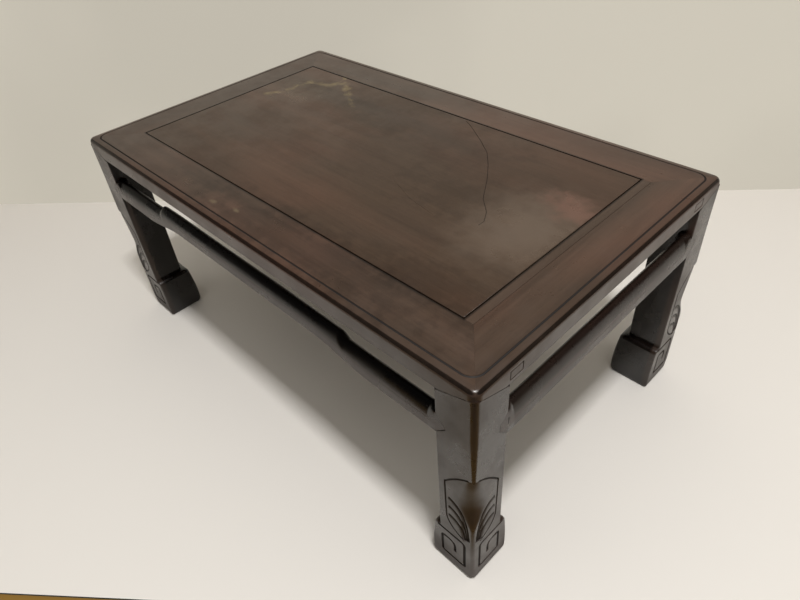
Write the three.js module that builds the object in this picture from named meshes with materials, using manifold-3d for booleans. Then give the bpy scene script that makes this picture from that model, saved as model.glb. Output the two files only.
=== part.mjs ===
// A low hardwood stand for a bonsai, in the manner of a small Chinese kang table.
// A mitred frame holds a floating panel. Four square legs carry the frame on a sloping seat,
// raised stretchers tie the long sides and straight ones the short sides, and each leg ends
// in a carved lappet and a hoof foot with a square scroll.
// Millimetres, +Z up, +X along the long side. The origin is on the floor under the middle.

import * as THREE from 'three';
import { mergeVertices } from 'three/addons/utils/BufferGeometryUtils.js';
import Module from 'manifold-3d';

const wasm = await Module();
wasm.setup();

// Overall size
const standLength = 600;
const standWidth = 360;
const standHeight = 260;

// Frame
const stileWidth = 51.5;
const leftRailWidth = 48;
const rightRailWidth = 45;
const bandDepth = 20;
const frameCornerRadius = 8;
const frameEdgeRadius = 4.6;
const frameBeadWidth = 8.8;
const frameBeadFall = 0.45;
const frameLowerEase = 2;
const incisedLineInset = 9.2;
const incisedLineRadius = 11.5;
const incisedLineWidth = 1.4;
const incisedLineDepth = 0.8;

// Through tenons of the stiles, seen as end grain on the short sides
const throughTenonWidth = 14;
const throughTenonThickness = 7.6;
const throughTenonDrop = 7;
const throughTenonRoot = 3;

// Panel, slip and battens
const panelGap = 1.3;
const panelThickness = 11;
const tongueThickness = 4;
const tongueReach = 6;
const lipThickness = 5.4;
const slipWidth = 9.2;
const battenSpacing = 230;
const battenWidth = 24;
const battenDepth = 9;
const battenEase = 1.5;
const dovetailDepth = 4;
const dovetailShoulder = 3;
const dovetailFlare = 1.2;
const dovetailStop = 4;
const dovetailEndGap = 1;
const battenTenonLength = 12;
const battenTenonShoulder = 4;
const battenTenonThickness = 5.6;
const battenTenonShy = 2.2;

// Legs
const legWidth = 38;
const legArrisRadius = 5;
const notchArrisRadius = 2.4;
const arrisTaper = 51;
const legSideEase = 1.2;
const legInnerEase = 2.5;
const seatDrop = 7.3;
const seatSlope = 0.342;
const longTenonDrop = 8;
const shortTenonDrop = 11;
const legTenonLength = 14;
const legTenonThickness = 7;
const legTenonOffset = 8;
const legTenonShoulder = 5.5;
const legTenonRoot = 3;

// Hoof foot
const footWidthTop = 45.5;
const footWidthBottom = 48;
const footLedgeInner = 58;
const footLedgeOuter = 52;
const footBulgeHeight = 16;
const footEdgeRadius = 6;
const footEdgeInset = 3;
const footCornerRadius = 5;
const footSideEase = 2;
const footArrisRadius = 3.5;
const soleArrisRadius = 5.5;

// Hollowed arris of the lappet
const lappetTop = 158;
const hollowBottom = 84;
const hollowDeepest = 0.42;
const hollowRadius = 17;
const hollowStep = 3.5;

// Carved lines on a leg face. A place is a distance in from the outer arris and a height,
// and the two bends of a curve are shares of the way across and down between its ends.
const lineWidth = 1.9;
const lineDepth = 1.1;
const lappetSide = 30.5;
const lappetSideTop = 133;
const lappetLean = 1;
const lappetToe = 9.5;
const lappetToeHeight = 62;
const archInset = 0.4;
const archRise = 1;
const archBends = [[0.25, 0.07], [0.62, 0.38]];
const hookBends = [[0.08, 0.55], [0.5, 0.8]];
const fluteCount = 3;
const fluteTop = 113;
const fluteSpacing = 13;
const fluteSide = 27;
const fluteArris = 4.6;
const fluteArrisStep = 2.2;
const fluteEnd = 66.5;
const fluteEndStep = 1.2;
const fluteBends = [[0.58, 0.03], [0.93, 0.32]];
const scrollLead = 3;
const scrollOuterTop = 55.5;
const scrollOuterSide = 9.5;
const scrollBend = 4;
const scrollBottom = 16.5;
const scrollInnerSide = 35.5;
const scrollInnerTop = 44.5;
const scrollHookSide = 20.5;
const scrollHookEnd = 29;
const scrollInnerBend = 2.5;
const scrollHookBend = 5;
const scrollLineWidth = 2.5;
const scrollLineDepth = 1.4;

// Stretchers
const longStretcherGap = 26.2;
const longStretcherDepth = 23.3;
const longStretcherFlat = 9.8;
const shortStretcherGap = 28.2;
const shortStretcherDepth = 26.8;
const shortStretcherFlat = 12;
const stretcherThickness = 14;
const stretcherEase = 0.8;
const humpTopRise = 6.5;
const humpTopStart = 142;
const humpTopRun = 9;
const humpBottomRise = 9.5;
const humpBottomStart = 110;
const humpBottomRun = 75;
const flareRun = 9;
const flareSquareness = 7;
const shoulderReach = 9;
const shoulderThickness = 5.5;
const shoulderTipFraction = 0.42;
const shoulderLowShy = 1.2;
const shoulderHighShy = 0.8;
const stretcherTenonLength = 17;
const stretcherTenonThickness = 6;
const stretcherTenonInset = 5;
const stretcherTenonShy = 4.5;

// Fits
const hairline = 0.12;
const tenonClearance = 0.2;

// How far joined solids run into each other, and how far cutters pass the faces that they cut
const jointOverlap = 0.5;
const cutOvershoot = 1;
const cutterLift = 0.25;

// Derived places
const halfLength = standLength / 2;
const halfWidth = standWidth / 2;
const bandBottom = standHeight - bandDepth;
const panelLeft = -halfLength + leftRailWidth;
const panelRight = halfLength - rightRailWidth;
const panelHalfWidth = halfWidth - stileWidth;
const panelBottom = standHeight - panelThickness;
const tongueTop = standHeight - lipThickness;
const tongueBottom = tongueTop - tongueThickness;
const slipLeft = panelRight - slipWidth;
const battenBottom = panelBottom - battenDepth;
const seatOuterHeight = standHeight - seatDrop;
const longStretcherBottom = bandBottom - longStretcherGap - longStretcherDepth;
const shortStretcherBottom = bandBottom - shortStretcherGap - shortStretcherDepth;

// Colours of oiled dark rosewood, a little different from board to board
function wood(colour, roughness) {
  return new THREE.MeshStandardMaterial({ color: colour, roughness, metalness: 0 });
}
const panelWood = wood(0x4a3529, 0.38);
const slipWood = wood(0x463026, 0.4);
const stileWood = wood(0x452e24, 0.36);
const railWood = wood(0x4b3228, 0.36);
const legWood = wood(0x3c2a22, 0.34);
const stretcherWood = wood(0x3a261e, 0.34);
const battenWood = wood(0x4f3a2c, 0.55);

// Solids and booleans
function solidFrom(geometry) {
  const bare = geometry.clone();
  bare.deleteAttribute('normal');
  bare.deleteAttribute('uv');
  const merged = mergeVertices(bare, 1e-4);
  const mesh = new wasm.Mesh({
    numProp: 3,
    vertProperties: new Float32Array(merged.attributes.position.array),
    triVerts: new Uint32Array(merged.index.array),
  });
  return new wasm.Manifold(mesh);
}

function geometryFrom(solid) {
  const result = solid.getMesh();
  const geometry = new THREE.BufferGeometry();
  geometry.setAttribute('position', new THREE.BufferAttribute(new Float32Array(result.vertProperties), 3));
  geometry.setIndex(new THREE.BufferAttribute(new Uint32Array(result.triVerts), 1));
  geometry.computeVertexNormals();
  return geometry;
}

function cutAll(solid, cutters) {
  return cutters.reduce((rest, cutter) => rest.subtract(cutter), solid);
}

function joinAll(solids) {
  return solids.reduce((whole, piece) => whole.add(piece));
}

// A box between two opposite corners, given in any order
function box(x0, x1, y0, y1, z0, z1) {
  const geometry = new THREE.BoxGeometry(Math.abs(x1 - x0), Math.abs(y1 - y0), Math.abs(z1 - z0));
  geometry.translate((x0 + x1) / 2, (y0 + y1) / 2, (z0 + z1) / 2);
  return solidFrom(geometry);
}

// A plan outline raised from z0 to z1
function planPrism(points, z0, z1) {
  const shape = new THREE.Shape(points.map(([x, y]) => new THREE.Vector2(x, y)));
  const geometry = new THREE.ExtrudeGeometry(shape, { depth: z1 - z0, bevelEnabled: false });
  geometry.translate(0, 0, z0);
  return solidFrom(geometry);
}

// An outline in x and z, carried along y
function frontPrism(points, y0, y1) {
  const shape = new THREE.Shape(points.map(([x, z]) => new THREE.Vector2(x, z)));
  const geometry = new THREE.ExtrudeGeometry(shape, { depth: y1 - y0, bevelEnabled: false });
  geometry.rotateX(Math.PI / 2);
  geometry.translate(0, y1, 0);
  return solidFrom(geometry);
}

// A skin over rings with equal numbers of points. An open run of rings gets flat ends.
function loft(rings, closed = false) {
  const count = rings[0].length;
  const positions = rings.flat(2);
  const triangles = [];
  const spans = closed ? rings.length : rings.length - 1;
  for (let r = 0; r < spans; r += 1) {
    const here = r * count;
    const next = ((r + 1) % rings.length) * count;
    for (let i = 0; i < count; i += 1) {
      const j = (i + 1) % count;
      triangles.push(here + i, here + j, next + j, here + i, next + j, next + i);
    }
  }
  if (!closed) {
    const last = (rings.length - 1) * count;
    for (let i = 1; i < count - 1; i += 1) {
      triangles.push(0, i + 1, i);
      triangles.push(last, last + i, last + i + 1);
    }
  }
  if (signedVolume(positions, triangles) < 0) {
    triangles.reverse();
  }
  const geometry = new THREE.BufferGeometry();
  geometry.setAttribute('position', new THREE.Float32BufferAttribute(positions, 3));
  geometry.setIndex(triangles);
  return solidFrom(geometry);
}

function signedVolume(positions, triangles) {
  const corner = (k) => new THREE.Vector3().fromArray(positions, triangles[k] * 3);
  let volume = 0;
  for (let k = 0; k < triangles.length; k += 3) {
    volume += corner(k).dot(corner(k + 1).cross(corner(k + 2)));
  }
  return volume / 6;
}

// A smooth rise from 0 to 1 over the unit interval
function ease(t) {
  const s = Math.min(Math.max(t, 0), 1);
  return s * s * (3 - 2 * s);
}

// Evenly spaced values from a to b, both included
function steps(a, b, count) {
  return Array.from({ length: count + 1 }, (_, i) => a + ((b - a) * i) / count);
}

// Points round a quarter circle from the angle start, in degrees
function quarter(cx, cy, radius, start, segments) {
  return steps(start, start + 90, segments).map((angle) => {
    const turn = THREE.MathUtils.degToRad(angle);
    return [cx + radius * Math.cos(turn), cy + radius * Math.sin(turn)];
  });
}

// A rectangle with round corners about the middle of the stand
function roundedRectangle(halfX, halfY, radius, segments) {
  const x = halfX - radius;
  const y = halfY - radius;
  return [
    ...quarter(x, y, radius, 0, segments),
    ...quarter(-x, y, radius, 90, segments),
    ...quarter(-x, -y, radius, 180, segments),
    ...quarter(x, -y, radius, 270, segments),
  ];
}

// Frame
function frameLayer(inset, z, radius = frameCornerRadius - inset) {
  const leastRadius = 0.4;
  const outline = roundedRectangle(halfLength - inset, halfWidth - inset, Math.max(radius, leastRadius), 5);
  return outline.map(([x, y]) => [x, y, z]);
}

function frameBlank() {
  const lower = steps(0, 90, 2).map((angle) => {
    const turn = THREE.MathUtils.degToRad(angle);
    const inset = frameLowerEase * (1 - Math.sin(turn));
    return frameLayer(inset, bandBottom + frameLowerEase * (1 - Math.cos(turn)));
  });
  const crownHeight = standHeight - frameBeadFall - frameEdgeRadius;
  const upper = steps(0, 90, 5).map((angle) => {
    const turn = THREE.MathUtils.degToRad(angle);
    const inset = frameEdgeRadius * (1 - Math.cos(turn));
    return frameLayer(inset, crownHeight + frameEdgeRadius * Math.sin(turn));
  });
  const top = frameLayer(frameBeadWidth, standHeight);
  const opening = box(
    panelLeft,
    panelRight,
    -panelHalfWidth,
    panelHalfWidth,
    bandBottom - cutOvershoot,
    standHeight + cutOvershoot,
  );
  return loft([...lower, ...upper, top]).subtract(opening);
}

// The fine line cut round the top of the frame
function incisedLine() {
  const layer = (shift, z) => frameLayer(incisedLineInset + shift, z, incisedLineRadius - shift);
  const lip = standHeight + cutterLift;
  const outer = layer(-incisedLineWidth / 2, lip);
  const floor = layer(0, standHeight - incisedLineDepth);
  const inner = layer(incisedLineWidth / 2, lip);
  const stations = outer.map((point, i) => [point, floor[i], inner[i]]);
  return loft(stations, true);
}

// The room in the frame for the edges of the panel
function panelGroove() {
  return box(
    panelLeft - tongueReach - tenonClearance,
    panelRight + tongueReach + tenonClearance,
    -panelHalfWidth - tongueReach - tenonClearance,
    panelHalfWidth + tongueReach + tenonClearance,
    tongueBottom - hairline,
    tongueTop + hairline,
  );
}

// A tenon of one stile end, as long as the rail is wide. A side is +1 or -1.
function throughTenon(sideX, sideY, grow) {
  const innerEdge = sideX > 0 ? panelRight : panelLeft;
  const top = standHeight - throughTenonDrop;
  return box(
    innerEdge - sideX * throughTenonRoot,
    sideX * (halfLength + grow),
    sideY * (panelHalfWidth - grow),
    sideY * (panelHalfWidth + throughTenonWidth + grow),
    top - throughTenonThickness - grow,
    top + grow,
  );
}

// The plan of a stile, bounded by its two mitres
function stilePlan(sideY, mitreGap) {
  const reach = 1.1;
  const left = panelLeft + mitreGap;
  const right = panelRight - mitreGap;
  return [
    [left - leftRailWidth * reach, sideY * (panelHalfWidth + stileWidth * reach)],
    [right + rightRailWidth * reach, sideY * (panelHalfWidth + stileWidth * reach)],
    [right, sideY * panelHalfWidth],
    [left, sideY * panelHalfWidth],
  ];
}

// Legs. A corner is a pair of signs, and u and v run inward from its two outer faces.
const corners = [
  { name: 'front_right', sideX: 1, sideY: -1 },
  { name: 'front_left', sideX: -1, sideY: -1 },
  { name: 'back_right', sideX: 1, sideY: 1 },
  { name: 'back_left', sideX: -1, sideY: 1 },
];

function place(corner, u, v) {
  return [corner.sideX * (halfLength - u), corner.sideY * (halfWidth - v)];
}

function cornerBox(corner, u0, u1, v0, v1, z0, z1) {
  const [x0, y0] = place(corner, u0, v0);
  const [x1, y1] = place(corner, u1, v1);
  return box(x0, x1, y0, y1, z0, z1);
}

function seatHeight(u, v) {
  return seatOuterHeight - seatSlope * (u + v);
}

// Everything over the sloping seat of a leg and the flat part behind it
function aboveSeat(corner, lift) {
  const low = -cutOvershoot;
  const far = legWidth + 2 * cutOvershoot;
  const high = standHeight + cutOvershoot;
  const square = [[low, low], [far, low], [far, far], [low, far]];
  const slope = square.map(([u, v]) => [...place(corner, u, v), seatHeight(u, v) + lift]);
  const top = square.map(([u, v]) => [...place(corner, u, v), high]);
  const level = cornerBox(corner, low, far, low, far, bandBottom + lift, high);
  return loft([slope, top]).intersect(level);
}

// The tenons on a leg head: the long one enters the stile and the short one the rail
function legTenons(corner, grow) {
  const acrossFrom = legTenonOffset - grow;
  const acrossTo = legTenonOffset + legTenonThickness + grow;
  const alongTo = legWidth - legTenonShoulder + grow;
  const alongFrom = legWidth - legTenonShoulder - legTenonLength - grow;
  const root = bandBottom - legTenonRoot;
  const longTop = standHeight - longTenonDrop + grow;
  const shortTop = standHeight - shortTenonDrop + grow;
  const intoStile = cornerBox(corner, alongFrom, alongTo, acrossFrom, acrossTo, root, longTop);
  const intoRail = cornerBox(corner, acrossFrom, acrossTo, alongFrom, alongTo, root, shortTop);
  return [intoStile, intoRail];
}

// The space in the frame that one leg head takes
function legHousing(corner) {
  const low = -cutOvershoot;
  const far = legWidth + hairline;
  const head = cornerBox(corner, low, far, low, far, bandBottom - cutOvershoot, standHeight);
  const seated = head.subtract(aboveSeat(corner, hairline));
  return joinAll([seated, ...legTenons(corner, tenonClearance)]);
}

// Radius of the outer arris at a height: a soft arris that sharpens down to the notch of the
// lappet, the hollow of the lappet, and a firm ridge down to the foot
function arrisRadius(z) {
  if (z >= lappetTop) {
    const softening = Math.min((z - lappetTop) / arrisTaper, 1);
    return notchArrisRadius + (legArrisRadius - notchArrisRadius) * softening;
  }
  if (z <= hollowBottom) {
    return footArrisRadius;
  }
  const t = (z - hollowBottom) / (lappetTop - hollowBottom);
  if (t < hollowDeepest) {
    return footArrisRadius + (hollowRadius - footArrisRadius) * ease(t / hollowDeepest);
  }
  const stepRadius = legArrisRadius + hollowStep;
  return hollowRadius + (stepRadius - hollowRadius) * ease((t - hollowDeepest) / (1 - hollowDeepest));
}

// Width of the leg and foot at a height
function legReach(z) {
  if (z >= footLedgeInner) {
    return legWidth;
  }
  if (z >= footLedgeOuter) {
    const t = (footLedgeInner - z) / (footLedgeInner - footLedgeOuter);
    return legWidth + (footWidthTop - legWidth) * Math.sqrt(1 - (1 - t) ** 2);
  }
  const t = (footLedgeOuter - z) / (footLedgeOuter - footBulgeHeight);
  return footWidthTop + (footWidthBottom - footWidthTop) * Math.sin((Math.min(t, 1) * Math.PI) / 2);
}

// One level section of a leg
function legSection(corner, z, inset, arris) {
  const reach = legReach(z) - inset;
  const onFoot = z < footLedgeInner;
  const side = onFoot ? footSideEase : legSideEase;
  const inner = onFoot ? footCornerRadius : legInnerEase;
  const outline = [
    ...quarter(inset + arris, inset + arris, arris, 180, 8),
    ...quarter(reach - side, inset + side, side, 270, 2),
    ...quarter(reach - inner, reach - inner, inner, 0, 3),
    ...quarter(inset + side, reach - side, side, 90, 2),
  ];
  return outline.map(([u, v]) => [...place(corner, u, v), z]);
}

function legBlank(corner) {
  const sole = steps(0, 90, 4).map((angle) => {
    const turn = THREE.MathUtils.degToRad(angle);
    const inset = footEdgeInset * (1 - Math.sin(turn));
    return legSection(corner, footEdgeRadius * (1 - Math.cos(turn)), inset, soleArrisRadius);
  });
  const underTop = lappetTop - 0.01;
  const foot = steps(footBulgeHeight, footLedgeOuter, 3);
  const ledge = steps(footLedgeOuter, footLedgeInner, 3).slice(1);
  const lappet = steps(footLedgeInner, underTop, 17).slice(1);
  const plain = [...foot, ...ledge, ...lappet, lappetTop, lappetTop + arrisTaper, standHeight];
  return loft([...sole, ...plain.map((z) => legSection(corner, z, 0, arrisRadius(z)))]);
}

// How far the hollowed arris lies behind the leg face, at a distance s from the arris
function faceFall(s, z) {
  const radius = arrisRadius(z);
  return s >= radius ? 0 : radius - Math.sqrt(radius * radius - (radius - s) ** 2);
}

// The square-on direction at a point of a path, lengthened where the path turns,
// so that a line of even width keeps its width round a corner
function acrossPath(points, i) {
  const heading = (from, to) => points[to].clone().sub(points[from]).normalize();
  const last = points.length - 1;
  const arriving = heading(Math.max(i - 1, 0), Math.max(i, 1));
  const leaving = heading(Math.min(i, last - 1), Math.min(i + 1, last));
  const along = arriving.clone().add(leaving).normalize();
  return new THREE.Vector2(-along.y, along.x).divideScalar(along.dot(arriving));
}

// A V-shaped cut along a path on both outer faces of a leg
function carvedLine(corner, path, width, depth) {
  const points = path.map(([s, z]) => new THREE.Vector2(s, z));
  const behind = (point, cut) => [point.x, faceFall(point.x, point.y) + cut, point.y];
  const sections = points.map((point, i) => {
    const across = acrossPath(points, i).multiplyScalar(width / 2);
    const left = behind(point.clone().sub(across), -cutterLift);
    const right = behind(point.clone().add(across), -cutterLift);
    return [left, behind(point, depth), right];
  });
  const onFront = ([s, fall, z]) => [...place(corner, s, fall), z];
  const onSide = ([s, fall, z]) => [...place(corner, fall, s), z];
  return [onFront, onSide].map((toWorld) => loft(sections.map((section) => section.map(toWorld))));
}

// A curve between two places on a leg face
function sweep(from, to, bends, count) {
  const at = ([across, down]) => new THREE.Vector2(
    from[0] + (to[0] - from[0]) * across,
    from[1] + (to[1] - from[1]) * down,
  );
  const curve = new THREE.CubicBezierCurve(at([0, 0]), at(bends[0]), at(bends[1]), at([1, 1]));
  return curve.getPoints(count).map((point) => [point.x, point.y]);
}

// The lappet: its arched top, its side, and the hooked lower end
function lappetOutline() {
  const crown = [archInset, lappetTop + archRise];
  const sideTop = [lappetSide, lappetSideTop];
  const sideBottom = [lappetSide - lappetLean, hollowBottom];
  const toe = [lappetToe, lappetToeHeight];
  return [...sweep(crown, sideTop, archBends, 7), ...sweep(sideBottom, toe, hookBends, 6)];
}

// The flutes, level at the side of the lappet and upright beside the arris
function flutePaths() {
  return Array.from({ length: fluteCount }, (_, index) => {
    const start = [fluteSide, fluteTop - index * fluteSpacing];
    const end = [fluteArris + index * fluteArrisStep, fluteEnd - index * fluteEndStep];
    return sweep(start, end, fluteBends, 8);
  });
}

// The square scroll on the foot, one line from the inner edge that turns in on itself
function scrollPath() {
  const outerBend = quarter(scrollOuterSide + scrollBend, scrollOuterTop - scrollBend, scrollBend, 90, 4);
  const innerBend = quarter(
    scrollInnerSide - scrollInnerBend,
    scrollInnerTop - scrollInnerBend,
    scrollInnerBend,
    0,
    3,
  );
  const hookBend = quarter(
    scrollHookSide + scrollHookBend,
    scrollInnerTop - scrollHookBend,
    scrollHookBend,
    90,
    4,
  );
  return [
    [legWidth + scrollLead, scrollOuterTop],
    ...outerBend,
    [scrollOuterSide, scrollBottom],
    [scrollInnerSide, scrollBottom],
    ...innerBend,
    ...hookBend,
    [scrollHookSide, scrollHookEnd],
  ];
}

// Stretchers. How far the long ones have risen, at a distance d from the leg.
function longRise(d, rise, start, run) {
  return rise * ease((d + legWidth - start) / run);
}

// One section of a stretcher: inset from the outer face, and height
function stretcherSection(bottom, top, flat, squareness) {
  const crown = top - bottom - flat;
  const half = stretcherThickness / 2;
  const power = 2 / squareness;
  const arc = steps(180, 0, 8).map((angle) => {
    const turn = THREE.MathUtils.degToRad(angle);
    const level = Math.cos(turn);
    const inset = half + half * Math.sign(level) * Math.abs(level) ** power;
    return [inset, bottom + flat + crown * Math.abs(Math.sin(turn)) ** power];
  });
  const sole = [[stretcherThickness, bottom], [stretcherEase, bottom], [0, bottom + stretcherEase]];
  return [...arc, ...sole];
}

function squarenessAt(d) {
  return 2 + (flareSquareness - 2) * (1 - ease(d / flareRun));
}

function stretcherBarrel(span, stations, sectionAt, toWorld) {
  const distances = [...stations, ...stations.map((d) => span - d).reverse()];
  const rings = distances.map((along) => {
    const d = Math.min(along, span - along);
    return sectionAt(d).map(([inset, z]) => toWorld(along, inset, z));
  });
  return loft(rings);
}

// The pointed shoulder that laps a leg face, and the tenon behind it.
// toWorld takes a distance past the shoulder line into the leg, an inset and a height.
function stretcherEnd(bottom, depth, toWorld, grow) {
  const tip = bottom + depth * shoulderTipFraction;
  const low = bottom + shoulderLowShy - grow;
  const high = bottom + depth - shoulderHighShy + grow;
  const root = -jointOverlap;
  const outline = [[root, low], [root, high], [0, high], [shoulderReach + grow, tip], [0, low]];
  const outerFace = grow > 0 ? -cutOvershoot : 0;
  const front = outline.map(([reach, z]) => toWorld(reach, outerFace, z));
  const rear = outline.map(([reach, z]) => toWorld(reach, shoulderThickness + grow, z));
  const shoulder = loft([front, rear]);
  const from = stretcherTenonInset - grow;
  const to = stretcherTenonInset + stretcherTenonThickness + grow;
  const z0 = bottom + stretcherTenonShy - grow;
  const z1 = bottom + depth - stretcherTenonShy + grow;
  const [x0, y0] = toWorld(root, from, z0);
  const [x1, y1] = toWorld(stretcherTenonLength + grow, to, z0);
  return shoulder.add(box(x0, x1, y0, y1, z0, z1));
}

function longEnd(sideX, sideY, grow) {
  const line = halfLength - legWidth;
  const toWorld = (reach, inset, z) => [sideX * (line + reach), sideY * (halfWidth - inset), z];
  return stretcherEnd(longStretcherBottom, longStretcherDepth, toWorld, grow);
}

function shortEnd(sideX, sideY, grow) {
  const line = halfWidth - legWidth;
  const toWorld = (reach, inset, z) => [sideX * (halfLength - inset), sideY * (line + reach), z];
  return stretcherEnd(shortStretcherBottom, shortStretcherDepth, toWorld, grow);
}

function longStretcher(sideY) {
  const span = standLength - 2 * (legWidth + hairline);
  const longStretcherTop = longStretcherBottom + longStretcherDepth;
  const sectionAt = (d) => {
    const bottom = longStretcherBottom + longRise(d, humpBottomRise, humpBottomStart, humpBottomRun);
    const top = longStretcherTop + longRise(d, humpTopRise, humpTopStart, humpTopRun);
    return stretcherSection(bottom, top, longStretcherFlat, squarenessAt(d));
  };
  const riserEnd = humpTopStart + humpTopRun;
  const rampUp = steps(humpBottomStart, humpTopStart, 3).slice(0, -1);
  const riser = steps(humpTopStart, riserEnd, 4);
  const rampOn = steps(riserEnd, humpBottomStart + humpBottomRun, 4).slice(1);
  const stations = [...steps(0, flareRun, 3), ...[...rampUp, ...riser, ...rampOn].map((d) => d - legWidth)];
  const toWorld = (along, inset, z) => [-span / 2 + along, sideY * (halfWidth - inset), z];
  const barrel = stretcherBarrel(span, stations, sectionAt, toWorld);
  return joinAll([barrel, longEnd(-1, sideY, 0), longEnd(1, sideY, 0)]);
}

function shortStretcher(sideX) {
  const span = standWidth - 2 * (legWidth + hairline);
  const top = shortStretcherBottom + shortStretcherDepth;
  const sectionAt = (d) => stretcherSection(shortStretcherBottom, top, shortStretcherFlat, squarenessAt(d));
  const stations = steps(0, flareRun, 3);
  const toWorld = (along, inset, z) => [sideX * (halfLength - inset), -span / 2 + along, z];
  const barrel = stretcherBarrel(span, stations, sectionAt, toWorld);
  return joinAll([barrel, shortEnd(sideX, -1, 0), shortEnd(sideX, 1, 0)]);
}

function leg(corner) {
  const blank = legBlank(corner).subtract(aboveSeat(corner, 0));
  const head = joinAll([blank, ...legTenons(corner, 0)]);
  const carving = [
    carvedLine(corner, lappetOutline(), lineWidth, lineDepth),
    carvedLine(corner, scrollPath(), scrollLineWidth, scrollLineDepth),
    ...flutePaths().map((path) => carvedLine(corner, path, lineWidth, lineDepth)),
  ].flat();
  const mortises = [
    longEnd(corner.sideX, corner.sideY, hairline),
    shortEnd(corner.sideX, corner.sideY, hairline),
  ];
  return cutAll(head, [...carving, ...mortises]);
}

// Battens under the panel, let into it with a sliding dovetail
function battenPlaces() {
  const middle = (panelLeft + slipLeft) / 2;
  return [
    { name: 'left', x: middle - battenSpacing / 2 },
    { name: 'right', x: middle + battenSpacing / 2 },
  ];
}

function dovetail(x, grow, halfRun) {
  const neck = battenWidth / 2 - dovetailShoulder + grow;
  const crown = neck + dovetailFlare;
  const root = panelBottom - jointOverlap;
  const top = panelBottom + dovetailDepth + grow;
  const outline = [
    [x - neck, root],
    [x + neck, root],
    [x + neck, panelBottom],
    [x + crown, top],
    [x - crown, top],
    [x - neck, panelBottom],
  ];
  return frontPrism(outline, -halfRun, halfRun);
}

function battenTenons(x, grow) {
  const reach = panelHalfWidth + battenTenonLength + grow;
  const half = battenWidth / 2 - battenTenonShoulder + grow;
  const low = battenBottom + battenTenonShy - grow;
  return box(x - half, x + half, -reach, reach, low, low + battenTenonThickness + 2 * grow);
}

function batten(x) {
  const half = battenWidth / 2;
  const outline = [
    [x - half, battenBottom + battenEase],
    [x - half + battenEase, battenBottom],
    [x + half - battenEase, battenBottom],
    [x + half, battenBottom + battenEase],
    [x + half, panelBottom - hairline],
    [x - half, panelBottom - hairline],
  ];
  const run = panelHalfWidth - hairline;
  const body = frontPrism(outline, -run, run);
  return joinAll([body, dovetail(x, 0, panelHalfWidth - dovetailStop), battenTenons(x, 0)]);
}

function panel() {
  const field = box(
    panelLeft + panelGap,
    slipLeft - panelGap,
    -panelHalfWidth + panelGap,
    panelHalfWidth - panelGap,
    panelBottom,
    standHeight,
  );
  const tongue = box(
    panelLeft - tongueReach + panelGap,
    panelRight + tongueReach - panelGap,
    -panelHalfWidth - tongueReach + panelGap,
    panelHalfWidth + tongueReach - panelGap,
    tongueBottom,
    tongueTop,
  );
  const slotRun = panelHalfWidth - dovetailStop + dovetailEndGap;
  const slots = battenPlaces().map(({ x }) => dovetail(x, hairline, slotRun));
  return cutAll(field.add(tongue), slots);
}

// The slip that closes the gap between the panel and the right rail
function slip() {
  const half = panelHalfWidth - hairline;
  return box(slipLeft, panelRight - hairline, -half, half, tongueTop + hairline, standHeight);
}

function frameMembers() {
  const shape = cutAll(frameBlank(), [incisedLine(), panelGroove(), ...corners.map(legHousing)]);
  const battenMortises = battenPlaces().map(({ x }) => battenTenons(x, tenonClearance));
  const z0 = bandBottom - cutOvershoot;
  const z1 = standHeight + cutOvershoot;
  const stiles = [-1, 1].map((sideY) => {
    const body = shape.intersect(planPrism(orderedPlan(stilePlan(sideY, hairline)), z0, z1));
    const tenons = [-1, 1].map((sideX) => throughTenon(sideX, sideY, 0));
    return cutAll(joinAll([body, ...tenons]), [...battenMortises, panelGroove()]);
  });
  const stileRoom = [-1, 1].map((sideY) => planPrism(orderedPlan(stilePlan(sideY, 0)), z0, z1));
  const tenonRoom = corners.map(({ sideX, sideY }) => throughTenon(sideX, sideY, hairline));
  const rails = [-1, 1].map((sideX) => {
    const half = box(0, sideX * standLength, -standWidth, standWidth, z0, z1);
    return cutAll(shape.intersect(half), [...stileRoom, ...tenonRoom]);
  });
  return { stiles, rails };
}

// Puts the points of a plan outline in anticlockwise order
function orderedPlan(points) {
  const vectors = points.map(([x, y]) => new THREE.Vector2(x, y));
  return THREE.ShapeUtils.area(vectors) < 0 ? [...points].reverse() : points;
}

const group = new THREE.Group();

function addPiece(name, solid, material) {
  const mesh = new THREE.Mesh(geometryFrom(solid), material);
  mesh.name = name;
  group.add(mesh);
}

const { stiles, rails } = frameMembers();
addPiece('top_panel', panel(), panelWood);
addPiece('panel_slip', slip(), slipWood);
addPiece('stile_front', stiles[0], stileWood);
addPiece('stile_back', stiles[1], stileWood);
addPiece('rail_left', rails[0], railWood);
addPiece('rail_right', rails[1], railWood);
battenPlaces().forEach(({ name, x }) => addPiece(`batten_${name}`, batten(x), battenWood));
corners.forEach((corner) => addPiece(`leg_${corner.name}`, leg(corner), legWood));
addPiece('stretcher_front', longStretcher(-1), stretcherWood);
addPiece('stretcher_back', longStretcher(1), stretcherWood);
addPiece('stretcher_left', shortStretcher(-1), stretcherWood);
addPiece('stretcher_right', shortStretcher(1), stretcherWood);

export default group;
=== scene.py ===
import math

import bmesh
import bpy
from collections import namedtuple
from contextlib import contextmanager
from mathutils import Matrix, Vector


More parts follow.
